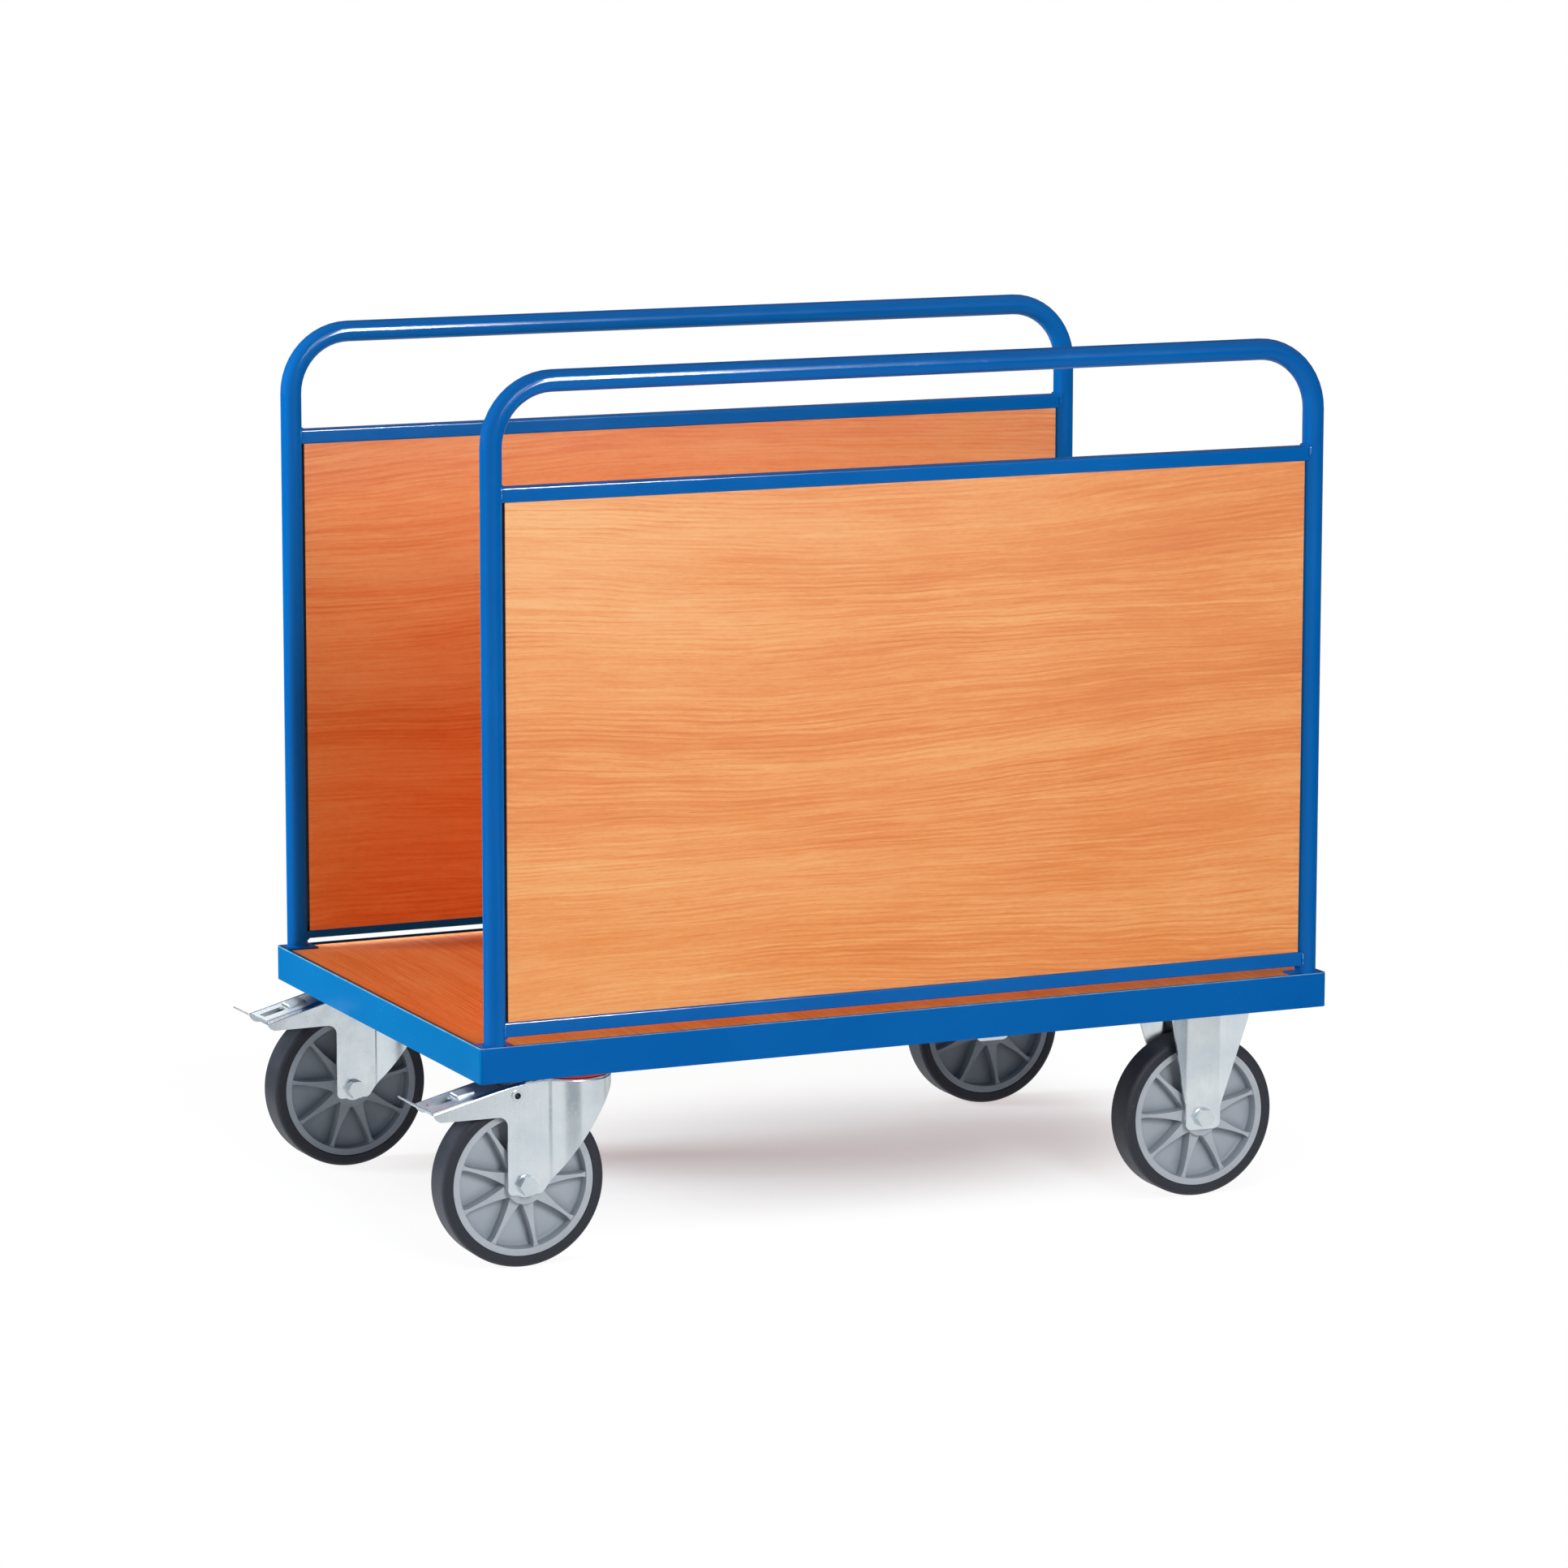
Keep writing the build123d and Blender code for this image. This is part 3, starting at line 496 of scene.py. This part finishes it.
# bright zinc plate on the casters
zincPlate = {
    "cool": (0.555, 0.625, 0.675),
    "warm": (0.70, 0.74, 0.76),
    "lineTone": 0.15,
    "cloudTone": 0.80,
    "grit": 1300.0,
    "clouds": 17.0,
    "dustRough": 0.15,
    "lineHeight": 0.5,
    "bump": (0.00003, 0.6),
    "plain": {"Metallic": 1.0},
    "kinds": {  # how finely the hairlines run in X, Y and Z, roughness, brightness
        "zincSheet": ((420.0, 420.0, 16.0), (0.19, 0.32), 1.0),
        "zincFastener": ((300.0, 300.0, 300.0), (0.16, 0.28), 0.92),
        "zincPedal": ((300.0, 60.0, 300.0), (0.34, 0.46), 1.0),  # scuffed by boots
    },
}


def makeZinc(name):
    along, roughness, dim = zincPlate["kinds"][name]
    material, tree, shader, place = newMaterial(name, zincPlate["plain"])
    scuffs = addScuffs(tree, place, along)
    skin = addSkin(tree, place, zincPlate)
    tone = calc(tree, "MULTIPLY", skin["Cloud"], zincPlate["cloudTone"])
    tone = calc(tree, "MULTIPLY_ADD", scuffs["Lines"], zincPlate["lineTone"], tone)
    cool, warm = [[part * dim for part in zincPlate[end]] + [1] for end in ("cool", "warm")]
    feed(tree, mixColour(tree, tone, cool, warm), shader["Base Color"])
    rough = spread(tree, scuffs["Patches"], 0.0, 1.0, *roughness)
    rough = calc(tree, "MULTIPLY_ADD", skin["Dust"], zincPlate["dustRough"], rough)
    feed(tree, rough, shader["Roughness"])
    height = calc(tree, "MULTIPLY_ADD", scuffs["Lines"], zincPlate["lineHeight"], skin["Grit"])
    feed(tree, addBump(tree, height, *zincPlate["bump"]), shader["Normal"])
    return material


def wheelPlace(tree, place):  # spot in the wheel, zero at its middle and one at its sides, and its radius
    middle = stretched(tree, place["Generated"], (2, 2, 2), (-1, -1, -1))
    parts = addNode(tree, "SeparateXYZ", {0: middle}).outputs
    flat = addNode(tree, "CombineXYZ", {"X": parts["X"], "Z": parts["Z"]}).outputs[0]
    radius = addNode(tree, "VectorMath", {0: flat}, operation="LENGTH").outputs["Value"]
    return parts, radius


# moulded grey wheel centres
wheelPlastic = {
    "grey": (0.392, 0.436, 0.488, 1),
    "paler": (0.440, 0.486, 0.540, 1),
    "ribs": 9,
    "ribRing": (0.35, 0.85),  # where only ribs stand out, as shares of the wheel centre's radius
    "ribHeight": 0.5,
    "pocket": (0.22, 0.252, 0.292, 1),  # shade painted in the corners between ribs, ring and hub
    "ribReach": (0.03, 0.17, 1.0, 0.0),  # how far that shade spreads
    "ringReach": (0.79, 0.915),
    "hubReach": (0.27, 0.42, 1.0, 0.0),
    "pocketCurve": 1.6,
    "pocketDepth": (0.12, 0.55, 0.62, 0.0),
    "highlightAndRubbing": (0.52, 0.56, 0.60, 1),  # painted highlight and wear on the rib tops and the ring's face
    "ribTop": (0.45, 0.66),
    "highlightAndRubbingMost": 0.28,
    "dust": (0.5, 0.49, 0.47, 1),
    "dustMost": 0.3,
    "grit": 1600.0,
    "clouds": 24.0,
    "rough": (0.36, 0.48),
    "bump": (0.00005, 0.6),
    "plain": {"Specular IOR Level": 0.38},
}


def ribPhase(node):  # where the ribs stand, read from the mesh halfway between hub and ring
    low, high = [Vector(end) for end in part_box(node.name)]
    middle = (low + high) / 2
    outer = (high.z - low.z) / 2
    deep = (high.y - low.y) / 2
    inside, outside = wheelPlastic["ribRing"]
    east = north = 0.0
    for vertex in node.data.vertices:
        arm = vertex.co - middle
        reach = sqrt(arm.x ** 2 + arm.z ** 2) / outer
        if inside < reach < outside and abs(arm.y) > wheelPlastic["ribHeight"] * deep:
            turn = wheelPlastic["ribs"] * atan2(arm.z, arm.x)
            east += cos(turn)
            north += sin(turn)
    return atan2(north, east) / wheelPlastic["ribs"]


def makeWheelPlastic(name, phase):
    material, tree, shader, place = newMaterial(name, wheelPlastic["plain"])
    skin = addSkin(tree, place, wheelPlastic)
    colour = mixColour(tree, skin["Cloud"], wheelPlastic["grey"], wheelPlastic["paler"])
    parts, radius = wheelPlace(tree, place)
    depth = calc(tree, "ABSOLUTE", parts["Y"])
    pitch = 2 * pi / wheelPlastic["ribs"]
    turn = calc(tree, "ARCTAN2", parts["Z"], parts["X"])
    turn = calc(tree, "ADD", turn, 4 * pi - phase + pitch / 2)  # whole turns added keep it above zero
    fromRib = calc(tree, "SUBTRACT", calc(tree, "MODULO", turn, pitch), pitch / 2)
    away = calc(tree, "MULTIPLY", calc(tree, "ABSOLUTE", fromRib), radius)
    byRib = spread(tree, away, *wheelPlastic["ribReach"])
    byRing = spread(tree, radius, *wheelPlastic["ringReach"])
    byHub = spread(tree, radius, *wheelPlastic["hubReach"])
    corner = calc(tree, "MAXIMUM", byRib, calc(tree, "MAXIMUM", byRing, byHub))
    corner = calc(tree, "POWER", corner, wheelPlastic["pocketCurve"])
    corner = calc(tree, "MULTIPLY", corner, spread(tree, depth, *wheelPlastic["pocketDepth"]))
    colour = mixColour(tree, corner, colour, wheelPlastic["pocket"])
    # painted highlight and wear on the rib tops and the ring's face
    wearAndHighlight = spread(tree, skin["Cloud"], 0, 1, 0.0, wheelPlastic["highlightAndRubbingMost"])
    wearAndHighlight = calc(tree, "MULTIPLY", spread(tree, depth, *wheelPlastic["ribTop"]), wearAndHighlight)
    colour = mixColour(tree, wearAndHighlight, colour, wheelPlastic["highlightAndRubbing"])
    dust = calc(tree, "MULTIPLY", skin["Dust"], wheelPlastic["dustMost"])
    feed(tree, mixColour(tree, dust, colour, wheelPlastic["dust"]), shader["Base Color"])
    feed(tree, spread(tree, skin["Cloud"], 0.0, 1.0, *wheelPlastic["rough"]), shader["Roughness"])
    feed(tree, addBump(tree, skin["Grit"], *wheelPlastic["bump"]), shader["Normal"])
    return material


# solid rubber tyres
tyreRubber = {
    "black": (0.021, 0.024, 0.034, 1),
    "scrubbed": (0.050, 0.055, 0.072, 1),  # tread, a little paler than the sides
    "treadFrom": (0.965, 0.998),
    "treadMost": (0.6, 0.3),
    "dust": (0.16, 0.15, 0.14, 1),
    "dustMost": 0.25,
    "mouldRings": (120, 40, 1),  # faint rings left by the mould
    "ringDetail": (1.0, 2.0),
    "ringHeight": 0.8,
    "grit": 1900.0,
    "clouds": 30.0,
    "rough": (0.46, 0.60),
    "bump": (0.00006, 0.6),
    "plain": {"Specular IOR Level": 0.30},
}


def makeTyreRubber():
    material, tree, shader, place = newMaterial("tyreRubber", tyreRubber["plain"])
    parts, radius = wheelPlace(tree, place)
    skin = addSkin(tree, place, tyreRubber)
    patches = calc(tree, "MULTIPLY_ADD", skin["Cloud"], *tyreRubber["treadMost"])
    tread = calc(tree, "MULTIPLY", spread(tree, radius, *tyreRubber["treadFrom"]), patches)
    colour = mixColour(tree, tread, tyreRubber["black"], tyreRubber["scrubbed"])
    dust = calc(tree, "MULTIPLY", skin["Dust"], tyreRubber["dustMost"])
    feed(tree, mixColour(tree, dust, colour, tyreRubber["dust"]), shader["Base Color"])
    feed(tree, spread(tree, skin["Cloud"], 0.0, 1.0, *tyreRubber["rough"]), shader["Roughness"])
    turned = addNode(tree, "CombineXYZ", {"X": radius, "Y": parts["Y"]}).outputs[0]
    rings = cloud(tree, stretched(tree, turned, tyreRubber["mouldRings"]), *tyreRubber["ringDetail"])
    height = calc(tree, "MULTIPLY_ADD", rings, tyreRubber["ringHeight"], skin["Grit"])
    feed(tree, addBump(tree, height, *tyreRubber["bump"]), shader["Normal"])
    return material


# red sealing ring
sealPlastic = {
    "red": (0.58, 0.012, 0.02, 1),
    "faded": (0.66, 0.03, 0.03, 1),
    "grit": 1500.0,
    "clouds": 40.0,
    "rough": (0.25, 0.38),
    "bump": (0.00003, 0.5),
    "plain": {"Specular IOR Level": 0.45},
}


def makeSealPlastic():
    material, tree, shader, place = newMaterial("sealPlastic", sealPlastic["plain"])
    skin = addSkin(tree, place, sealPlastic)
    colour = mixColour(tree, skin["Cloud"], sealPlastic["red"], sealPlastic["faded"])
    feed(tree, colour, shader["Base Color"])
    feed(tree, spread(tree, skin["Cloud"], 0.0, 1.0, *sealPlastic["rough"]), shader["Roughness"])
    feed(tree, addBump(tree, skin["Grit"], *sealPlastic["bump"]), shader["Normal"])
    return material


# which finish goes where: by the node's name first, then by its material slot
paint = makeFramePaint("framePaint")
rimPaint = makeFramePaint("rimPaint", True)
zincSheet, zincFastener, zincPedal = [makeZinc(name) for name in zincPlate["kinds"]]
finishBySlot = {
    "frame_paint": paint,
    "zinc_steel": zincSheet,
    "tyre_rubber": makeTyreRubber(),
    "seal_plastic": makeSealPlastic(),
}
finishes = {node: makeBeech(**board) for node, board in beechBoard["boards"].items()}
for name in nodes:
    if name.startswith(("end_rail", "side_rail")):
        finishes[name] = rimPaint
    elif name.startswith("brake_pedal"):
        finishes[name] = zincPedal
    elif name.startswith("rim_"):
        finishes[name] = makeWheelPlastic("wheelPlastic" + name[3:], ribPhase(nodes[name]))
fastenerNames = ("bolt", "nut", "screw", "pin", "sleeve", "bearing")
for piece in frame["record"]["subparts"]:
    name = piece["node"]
    finish = finishes.get(name) or finishBySlot[piece["material_slot"]]
    if finish is zincSheet and any(word in name for word in fastenerNames):
        finish = zincFastener
    for slot in nodes[name].material_slots:
        slot.material = finish
print("finishes laid on", len(nodes), "nodes")


# edges eased by the coat on sheet pieces that the CAD leaves sharp
easedEdges = {
    "widths": {
        "side_rail": 0.0012,
        "end_rail": 0.0012,
        "corner_plates": 0.0006,
        "side_panel": 0.0008,
        "deck_panel": 0.0008,
    },
    "joinWithin": 0.00002,
    "segments": 2,
    "sharperThan": 40,  # degrees
}
for name, node in nodes.items():
    for start, width in easedEdges["widths"].items():
        if name.startswith(start):
            joined = node.modifiers.new("joinSeams", "WELD")
            joined.merge_threshold = easedEdges["joinWithin"]
            eased = node.modifiers.new("easeEdges", "BEVEL")
            eased.width = width
            eased.segments = easedEdges["segments"]
            eased.limit_method = "ANGLE"
            eased.angle_limit = radians(easedEdges["sharperThan"])
            eased.harden_normals = True
print("edges eased")


# weld beads, laid as short overlapping ripples
weldBead = {
    "radius": 0.0025,
    "ripple": 0.0026,  # length of one ripple
    "rippleDepth": 0.14,
    "step": 0.0005,
    "ringSides": 10,
    "unevenness": 0.22,
    "unevenScale": 180.0,
    "endSize": 0.35,
    "endSlope": 6.0,
}


def layBead(name, path, body, material, radius):
    # path: a list of (point, first normal, second normal) along the corner that the bead fills
    shape = bmesh.new()
    rings = []
    travelled = 0.0
    last = path[0][0]
    count = len(path)
    sides = weldBead["ringSides"]
    for index, (point, sideOne, sideTwo) in enumerate(path):
        travelled += (point - last).length
        last = point
        ripple = 0.5 + 0.5 * cos(2 * pi * travelled / weldBead["ripple"])
        swell = 1 - weldBead["rippleDepth"] + weldBead["rippleDepth"] * sqrt(ripple)
        swell += weldBead["unevenness"] * noise.noise(point * weldBead["unevenScale"])
        fromEnd = min(index, count - 1 - index) / count
        taper = min(1.0, weldBead["endSize"] + weldBead["endSlope"] * fromEnd)
        size = radius * taper * swell
        flat = sideTwo - sideOne * sideTwo.dot(sideOne)
        flat.normalize()
        ring = []
        for side in range(sides):
            turn = 2 * pi * side / sides
            ring.append(shape.verts.new(point + size * (cos(turn) * sideOne + sin(turn) * flat)))
        rings.append(ring)
    for first, second in zip(rings, rings[1:]):
        for side in range(sides):
            after = (side + 1) % sides
            shape.faces.new((first[side], first[after], second[after], second[side]))
    shape.faces.new(list(reversed(rings[0])))
    shape.faces.new(rings[-1])
    bmesh.ops.recalc_face_normals(shape, faces=shape.faces)
    for face in shape.faces:
        face.smooth = True
    mesh = bpy.data.meshes.new(name)
    shape.to_mesh(mesh)
    shape.free()
    mesh.materials.append(material)
    bead = bpy.data.objects.new(name, mesh)
    scene.collection.objects.link(bead)
    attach(bead, body)


def alongLine(points, step):  # even steps along a run of straight pieces
    spots = []
    for first, second in zip(points, points[1:]):
        pieceCount = max(1, round((second - first).length / step))
        spots += [first.lerp(second, spot / pieceCount) for spot in range(pieceCount)]
    return spots + [points[-1]]


# beads where the crossbars meet the posts
crossbarWelds = {
    "bars": ("upper_crossbar_near", "upper_crossbar_far", "lower_crossbar_near", "lower_crossbar_far"),
    "tubeRadius": 0.0135,
    "cornerRadius": 0.0025,
    "cornerTurns": (22.5, 45, 67.5),  # degrees
    "start": 0.0014,
    "innerLip": 0.010,
}


def barOutline(low, high, openUp):
    # the bar's outside in (y, z) with its normal, from one lip round to the other
    corner = crossbarWelds["cornerRadius"]
    front, back = low.y, high.y
    if openUp:
        lip, shut, upward = high.z - crossbarWelds["start"], low.z, -1
    else:
        lip, shut, upward = low.z + crossbarWelds["start"], high.z, 1
    spots = [(front, lip, -1, 0), (front, shut - upward * corner, -1, 0)]
    for turn in crossbarWelds["cornerTurns"]:
        across, rise = cos(radians(turn)), sin(radians(turn))
        y = front + corner * (1 - across)
        spots.append((y, shut - upward * corner * (1 - rise), -across, upward * rise))
    spots.append((front + corner, shut, 0, upward))
    spots += [(back - (y - front), z, -ny, nz) for y, z, ny, nz in reversed(spots)]
    if openUp:  # the lip on the load's side is lower
        inner = -1 if front < 0 else 0
        y, z, ny, nz = spots[inner]
        spots[inner] = (y, low.z + crossbarWelds["innerLip"] - crossbarWelds["start"], ny, nz)
    return spots


def edgeNormal(outline, spot):  # normal of the outline's piece under this spot
    best = None
    for first, second in zip(outline, outline[1:]):
        start = Vector(first[:2])
        run = Vector(second[:2]) - start
        if run.length < 1e-9:
            continue
        share = min(1.0, max(0.0, (spot - start).dot(run) / run.length_squared))
        gap = (start + run * share - spot).length
        if best is None or gap < best[0]:
            best = (gap, Vector(first[2:]).lerp(Vector(second[2:]), share).normalized())
    return best[1]


def weldCrossbar(name):
    low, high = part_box(name)
    outline = barOutline(Vector(low), Vector(high), name.startswith("lower"))
    middleY = (low[1] + high[1]) / 2
    tube = crossbarWelds["tubeRadius"]
    hoopLow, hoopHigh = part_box("hoop_" + name.split("_")[-1])
    spots = alongLine([Vector((y, z)) for y, z, ny, nz in outline], weldBead["step"])
    for post, (postX, way) in enumerate(((hoopLow[0] + tube, 1), (hoopHigh[0] - tube, -1))):
        path = []
        for spot in spots:
            normal = edgeNormal(outline, spot)
            off = spot.x - middleY
            reach = sqrt(max(tube * tube - off * off, 0))
            point = Vector((postX + way * reach, spot.x, spot.y))
            path.append((point, Vector((0, normal.x, normal.y)), Vector((way * reach, off, 0)) / tube))
        layBead("weld_%s_%d" % (name, post), path, "chassis", paint, weldBead["radius"])


for name in crossbarWelds["bars"]:
    weldCrossbar(name)
print("crossbar welds laid")


# beads round the posts' feet, on the inner side where they meet the corner plates
footWelds = {"from": -100, "to": 100, "every": 2, "radius": 0.0022}  # the turns in degrees


def weldFoot(name, postX, postY, floor, inward):
    path = []
    for turn in range(footWelds["from"], footWelds["to"] + 1, footWelds["every"]):
        out = Vector((sin(radians(turn)), inward * cos(radians(turn)), 0))
        point = Vector((postX, postY, floor)) + out * crossbarWelds["tubeRadius"]
        path.append((point, out, Vector((0, 0, 1))))
    layBead(name, path, "chassis", paint, footWelds["radius"])


for side, inward in (("near", 1), ("far", -1)):
    low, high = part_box("hoop_" + side)
    tube = crossbarWelds["tubeRadius"]
    for post, postX in enumerate((low[0] + tube, high[0] - tube)):
        weldFoot("weld_foot_%s_%d" % (side, post), postX, (low[1] + high[1]) / 2, low[2], inward)
print("post feet welded")


# floor and backdrop
studioFloor = {
    "half": 40.0,
    "fades": ((0.12, 0.43, 0.88), (0.6, 1.3, 1.0)),  # from, to (metres across the trolley), how far to white
    "stretch": (0.60, 1.0, 1.0),
    "shift": (-0.075, -0.13, 0.0),
    "glow": (0.415, 0.325, 0.310, 1),
    "catch": (0.695, 0.81, 0.835, 1),
    "bounce": (0.58, 0.57, 0.56, 1),
    "rightX": (0.9, 1.8),  # where reflections, and only they, find the floor dark, in metres
    "rearY": (0.1, 0.8),
    "rearX": (-0.85, -0.6, 1.0, 0.0),
    "dusk": 0.12,  # how bright it is there
    "rearDusk": 0.05,
}


def newStage(name, points):  # one flat face that isn't part of the trolley, and its empty material
    mesh = bpy.data.meshes.new(name)
    mesh.from_pydata(points, [], [(0, 1, 2, 3)])
    made = bpy.data.objects.new(name, mesh)
    scene.collection.objects.link(made)
    material = bpy.data.materials.new(name)
    material.use_nodes = True
    material.node_tree.nodes.clear()
    mesh.materials.append(material)
    return made, material.node_tree


def makeFloor():
    half = studioFloor["half"]
    corners = [(-half, -half, 0), (half, -half, 0), (half, half, 0), (-half, half, 0)]
    floor, tree = newStage("studioFloor", corners)
    spot = addNode(tree, "TexCoord").outputs["Object"]
    oval = stretched(tree, spot, studioFloor["stretch"], studioFloor["shift"])
    away = addNode(tree, "VectorMath", {0: oval}, operation="LENGTH").outputs["Value"]
    fades = []
    for start, stop, most in studioFloor["fades"]:
        limits = {"Value": away, "From Min": start, "From Max": stop, "To Max": most}
        fades.append(addNode(tree, "MapRange", limits, interpolation_type="SMOOTHSTEP").outputs[0])
    catch = addNode(tree, "BsdfDiffuse", {"Color": studioFloor["catch"]}).outputs[0]
    glow = addNode(tree, "Emission", {"Color": studioFloor["glow"]}).outputs[0]
    near = addNode(tree, "AddShader", {0: catch, 1: glow}).outputs[0]
    far = addNode(tree, "Emission", {"Color": (1, 1, 1, 1)}).outputs[0]
    seen = addNode(tree, "MixShader", {0: calc(tree, "MAXIMUM", *fades), 1: near, 2: far}).outputs[0]

    # what reflections and bounced light find
    parts = addNode(tree, "SeparateXYZ", {0: spot}).outputs
    rear = spread(tree, parts["Y"], *studioFloor["rearY"])
    rear = calc(tree, "MULTIPLY", rear, spread(tree, parts["X"], *studioFloor["rearX"]))
    unlit = calc(tree, "MAXIMUM", spread(tree, parts["X"], *studioFloor["rightX"]), rear)
    dim = spread(tree, rear, 0.0, 1.0, studioFloor["dusk"], studioFloor["rearDusk"])
    dusk = addNode(tree, "Emission", {"Strength": dim}).outputs[0]
    mirrored = addNode(tree, "MixShader", {0: unlit, 1: seen, 2: dusk}).outputs[0]
    bounce = addNode(tree, "BsdfDiffuse", {"Color": studioFloor["bounce"]}).outputs[0]
    ray = addNode(tree, "LightPath").outputs
    shown = addNode(tree, "MixShader", {0: ray["Is Glossy Ray"], 1: bounce, 2: mirrored}).outputs[0]
    shown = addNode(tree, "MixShader", {0: ray["Is Camera Ray"], 1: shown, 2: seen}).outputs[0]
    addNode(tree, "OutputMaterial", {"Surface": shown})


# grey card by the camera, met only by reflections, that gives the bright metal its contrast
greyCard = {
    "from": (-0.83, -0.90),
    "to": (-0.33, -1.05),
    "tall": 0.42,
    "shade": (0.42, 0.45, 0.47, 1),
}


def makeGreyCard():
    start, stop, tall = greyCard["from"], greyCard["to"], greyCard["tall"]
    card, tree = newStage("greyCard", [(*start, 0), (*stop, 0), (*stop, tall), (*start, tall)])
    shade = addNode(tree, "Emission", {"Color": greyCard["shade"]}).outputs[0]
    addNode(tree, "OutputMaterial", {"Surface": shade})
    card.visible_camera = card.visible_diffuse = card.visible_shadow = False


# white all round, but dark to the right and rear for reflections
studioWhite = {
    "colour": (1, 1, 1, 1),
    "ambient": 0.28,
    "rightX": (0.5, 0.95),
    "rearY": (0.1, 0.6),
    "dusk": 0.12,
}


def makeWorld():
    world = bpy.data.worlds.new("studioWhite")
    scene.world = world
    world.use_nodes = True
    tree = world.node_tree
    tree.nodes.clear()
    heading = addNode(tree, "TexCoord").outputs["Generated"]
    parts = addNode(tree, "SeparateXYZ", {0: heading}).outputs
    rear = spread(tree, parts["Y"], *studioWhite["rearY"])
    unlit = calc(tree, "MAXIMUM", spread(tree, parts["X"], *studioWhite["rightX"]), rear)
    mirrored = spread(tree, unlit, 0.0, 1.0, 1.0, studioWhite["dusk"])
    soft, sheen, white = [
        addNode(tree, "Background", {"Strength": strength, "Color": studioWhite["colour"]}).outputs[0]
        for strength in (studioWhite["ambient"], mirrored, 1.0)
    ]
    ray = addNode(tree, "LightPath").outputs
    shown = addNode(tree, "MixShader", {0: ray["Is Glossy Ray"], 1: soft, 2: sheen}).outputs[0]
    shown = addNode(tree, "MixShader", {0: ray["Is Camera Ray"], 1: shown, 2: white}).outputs[0]
    addNode(tree, "OutputWorld", {"Surface": shown})


makeFloor()
makeGreyCard()
makeWorld()
print("studio floor and backdrop made")


# lamps tuned to the photo's light: place and aim, width and height in metres
# most light only the pieces named, and some only show in reflections or never do
softboxes = {
    "keyBox": {"place": (-0.2, -4.7, 2.4), "aim": (-0.1, -0.2, 0.65), "size": (1.2, 1.6), "watts": 118.0},
    "rimBox": {
        "place": (-4.2, 1.7, 1.7), "aim": (-0.5, 0.0, 0.4), "size": (1.2, 2.0), "watts": 215.0,
        "colour": (0.95, 1.0, 1.0), "glossy": False,
    },
    "streakBox": {  # a highlight on the tubes and boards, seen only in reflections
        "place": (1.35, -4.6, 2.35), "aim": (0.0, -0.35, 1.0), "size": (0.5, 2.4), "watts": 1450.0,
        "diffuse": False,
        "lights": ("hoop", "upper_crossbar", "lower_crossbar", "side_panel", "side_rail", "weld"),
    },
    "farFill": {
        "place": (-0.2, -4.7, 2.8), "aim": (0.0, 0.35, 1.0), "size": (1.2, 1.2), "watts": 60.0,
        "glossy": False, "lights": ("hoop_far", "upper_crossbar_far", "weld_upper_crossbar_far"),
    },
    "endFill": {  # green, for one rail alone: turns its blue towards the photo's
        "place": (-4.0, 0.3, 1.2), "aim": (-0.54, 0.0, 0.26), "size": (0.8, 0.8), "watts": 68.0,
        "colour": (0.0, 1.0, 0.05), "glossy": False, "lights": ("end_rail_swivel",),
    },
    "gapLight": {  # stands for daylight through the gap under the far board
        "place": (0.03, 0.352, 0.2895), "aim": (0.03, 0.2, 0.283), "size": (1.05, 0.008), "watts": 0.35,
        "glossy": False, "lights": ("deck_panel",),
    },
    "floorBox": {
        "place": (0.4, -1.6, 3.2), "aim": (0.0, 0.0, 0.0), "size": (2.2, 1.6), "watts": 78.0,
        "lights": ("studioFloor",),
    },
    "rearCard": {  # bright metal, from behind
        "place": (0.8, 5.2, 2.3), "aim": (-0.5, 0.0, 0.2), "size": (4.0, 2.5), "watts": 34.0,
        "diffuse": False, "lights": ("brake_pedal", "swivel_fork", "fixed_fork"),
    },
    "pedalCard": {
        "place": (-1.0, 1.1, 1.0), "aim": (-0.66, 0.0, 0.2), "size": (0.9, 0.9), "watts": 9.0,
        "diffuse": False, "lights": ("brake_pedal",),
    },
    "backFill": {
        "place": (0.6, 4.6, 2.0), "aim": (0.0, 0.35, 0.6), "size": (1.6, 1.6), "watts": 55.0,
        "glossy": False, "lights": ("side_panel_far", "side_rail_far", "lower_crossbar_far"),
    },
    "sideFill": {
        "place": (4.4, 0.3, 1.3), "aim": (0.55, 0.0, 0.4), "size": (1.2, 1.6), "watts": 75.0,
        "glossy": False, "lights": ("end_rail_fixed", "fixed_fork", "tyre_fixed", "rim_fixed"),
    },
    "bayGlow": {  # red, stands for light that the boards throw on each other
        "place": (-0.05, -0.28, 0.55), "aim": (-0.05, 0.34, 0.45), "size": (1.0, 0.4), "watts": 1.1,
        "colour": (1.0, 0.13, 0.03), "glossy": False, "lights": ("side_panel_far", "deck_panel"),
    },
}
for name, box in softboxes.items():
    lamp = bpy.data.lights.new(name, "AREA")
    lamp.shape = "RECTANGLE"
    lamp.size, lamp.size_y = box["size"]
    lamp.energy = box["watts"]
    lamp.color = box.get("colour", (1.0, 1.0, 1.0))
    rig = bpy.data.objects.new(name, lamp)
    scene.collection.objects.link(rig)
    rig.location = box["place"]
    heading = Vector(box["aim"]) - Vector(box["place"])
    rig.rotation_euler = heading.to_track_quat("-Z", "Y").to_euler()
    rig.visible_camera = False
    rig.visible_diffuse = box.get("diffuse", True)
    rig.visible_glossy = box.get("glossy", True)
    if "lights" in box:
        lit = bpy.data.collections.new(name + "Targets")
        for target in bpy.data.objects:
            if target.name.startswith(box["lights"]):
                lit.objects.link(target)
        rig.light_linking.receiver_collection = lit
print("studio lit")
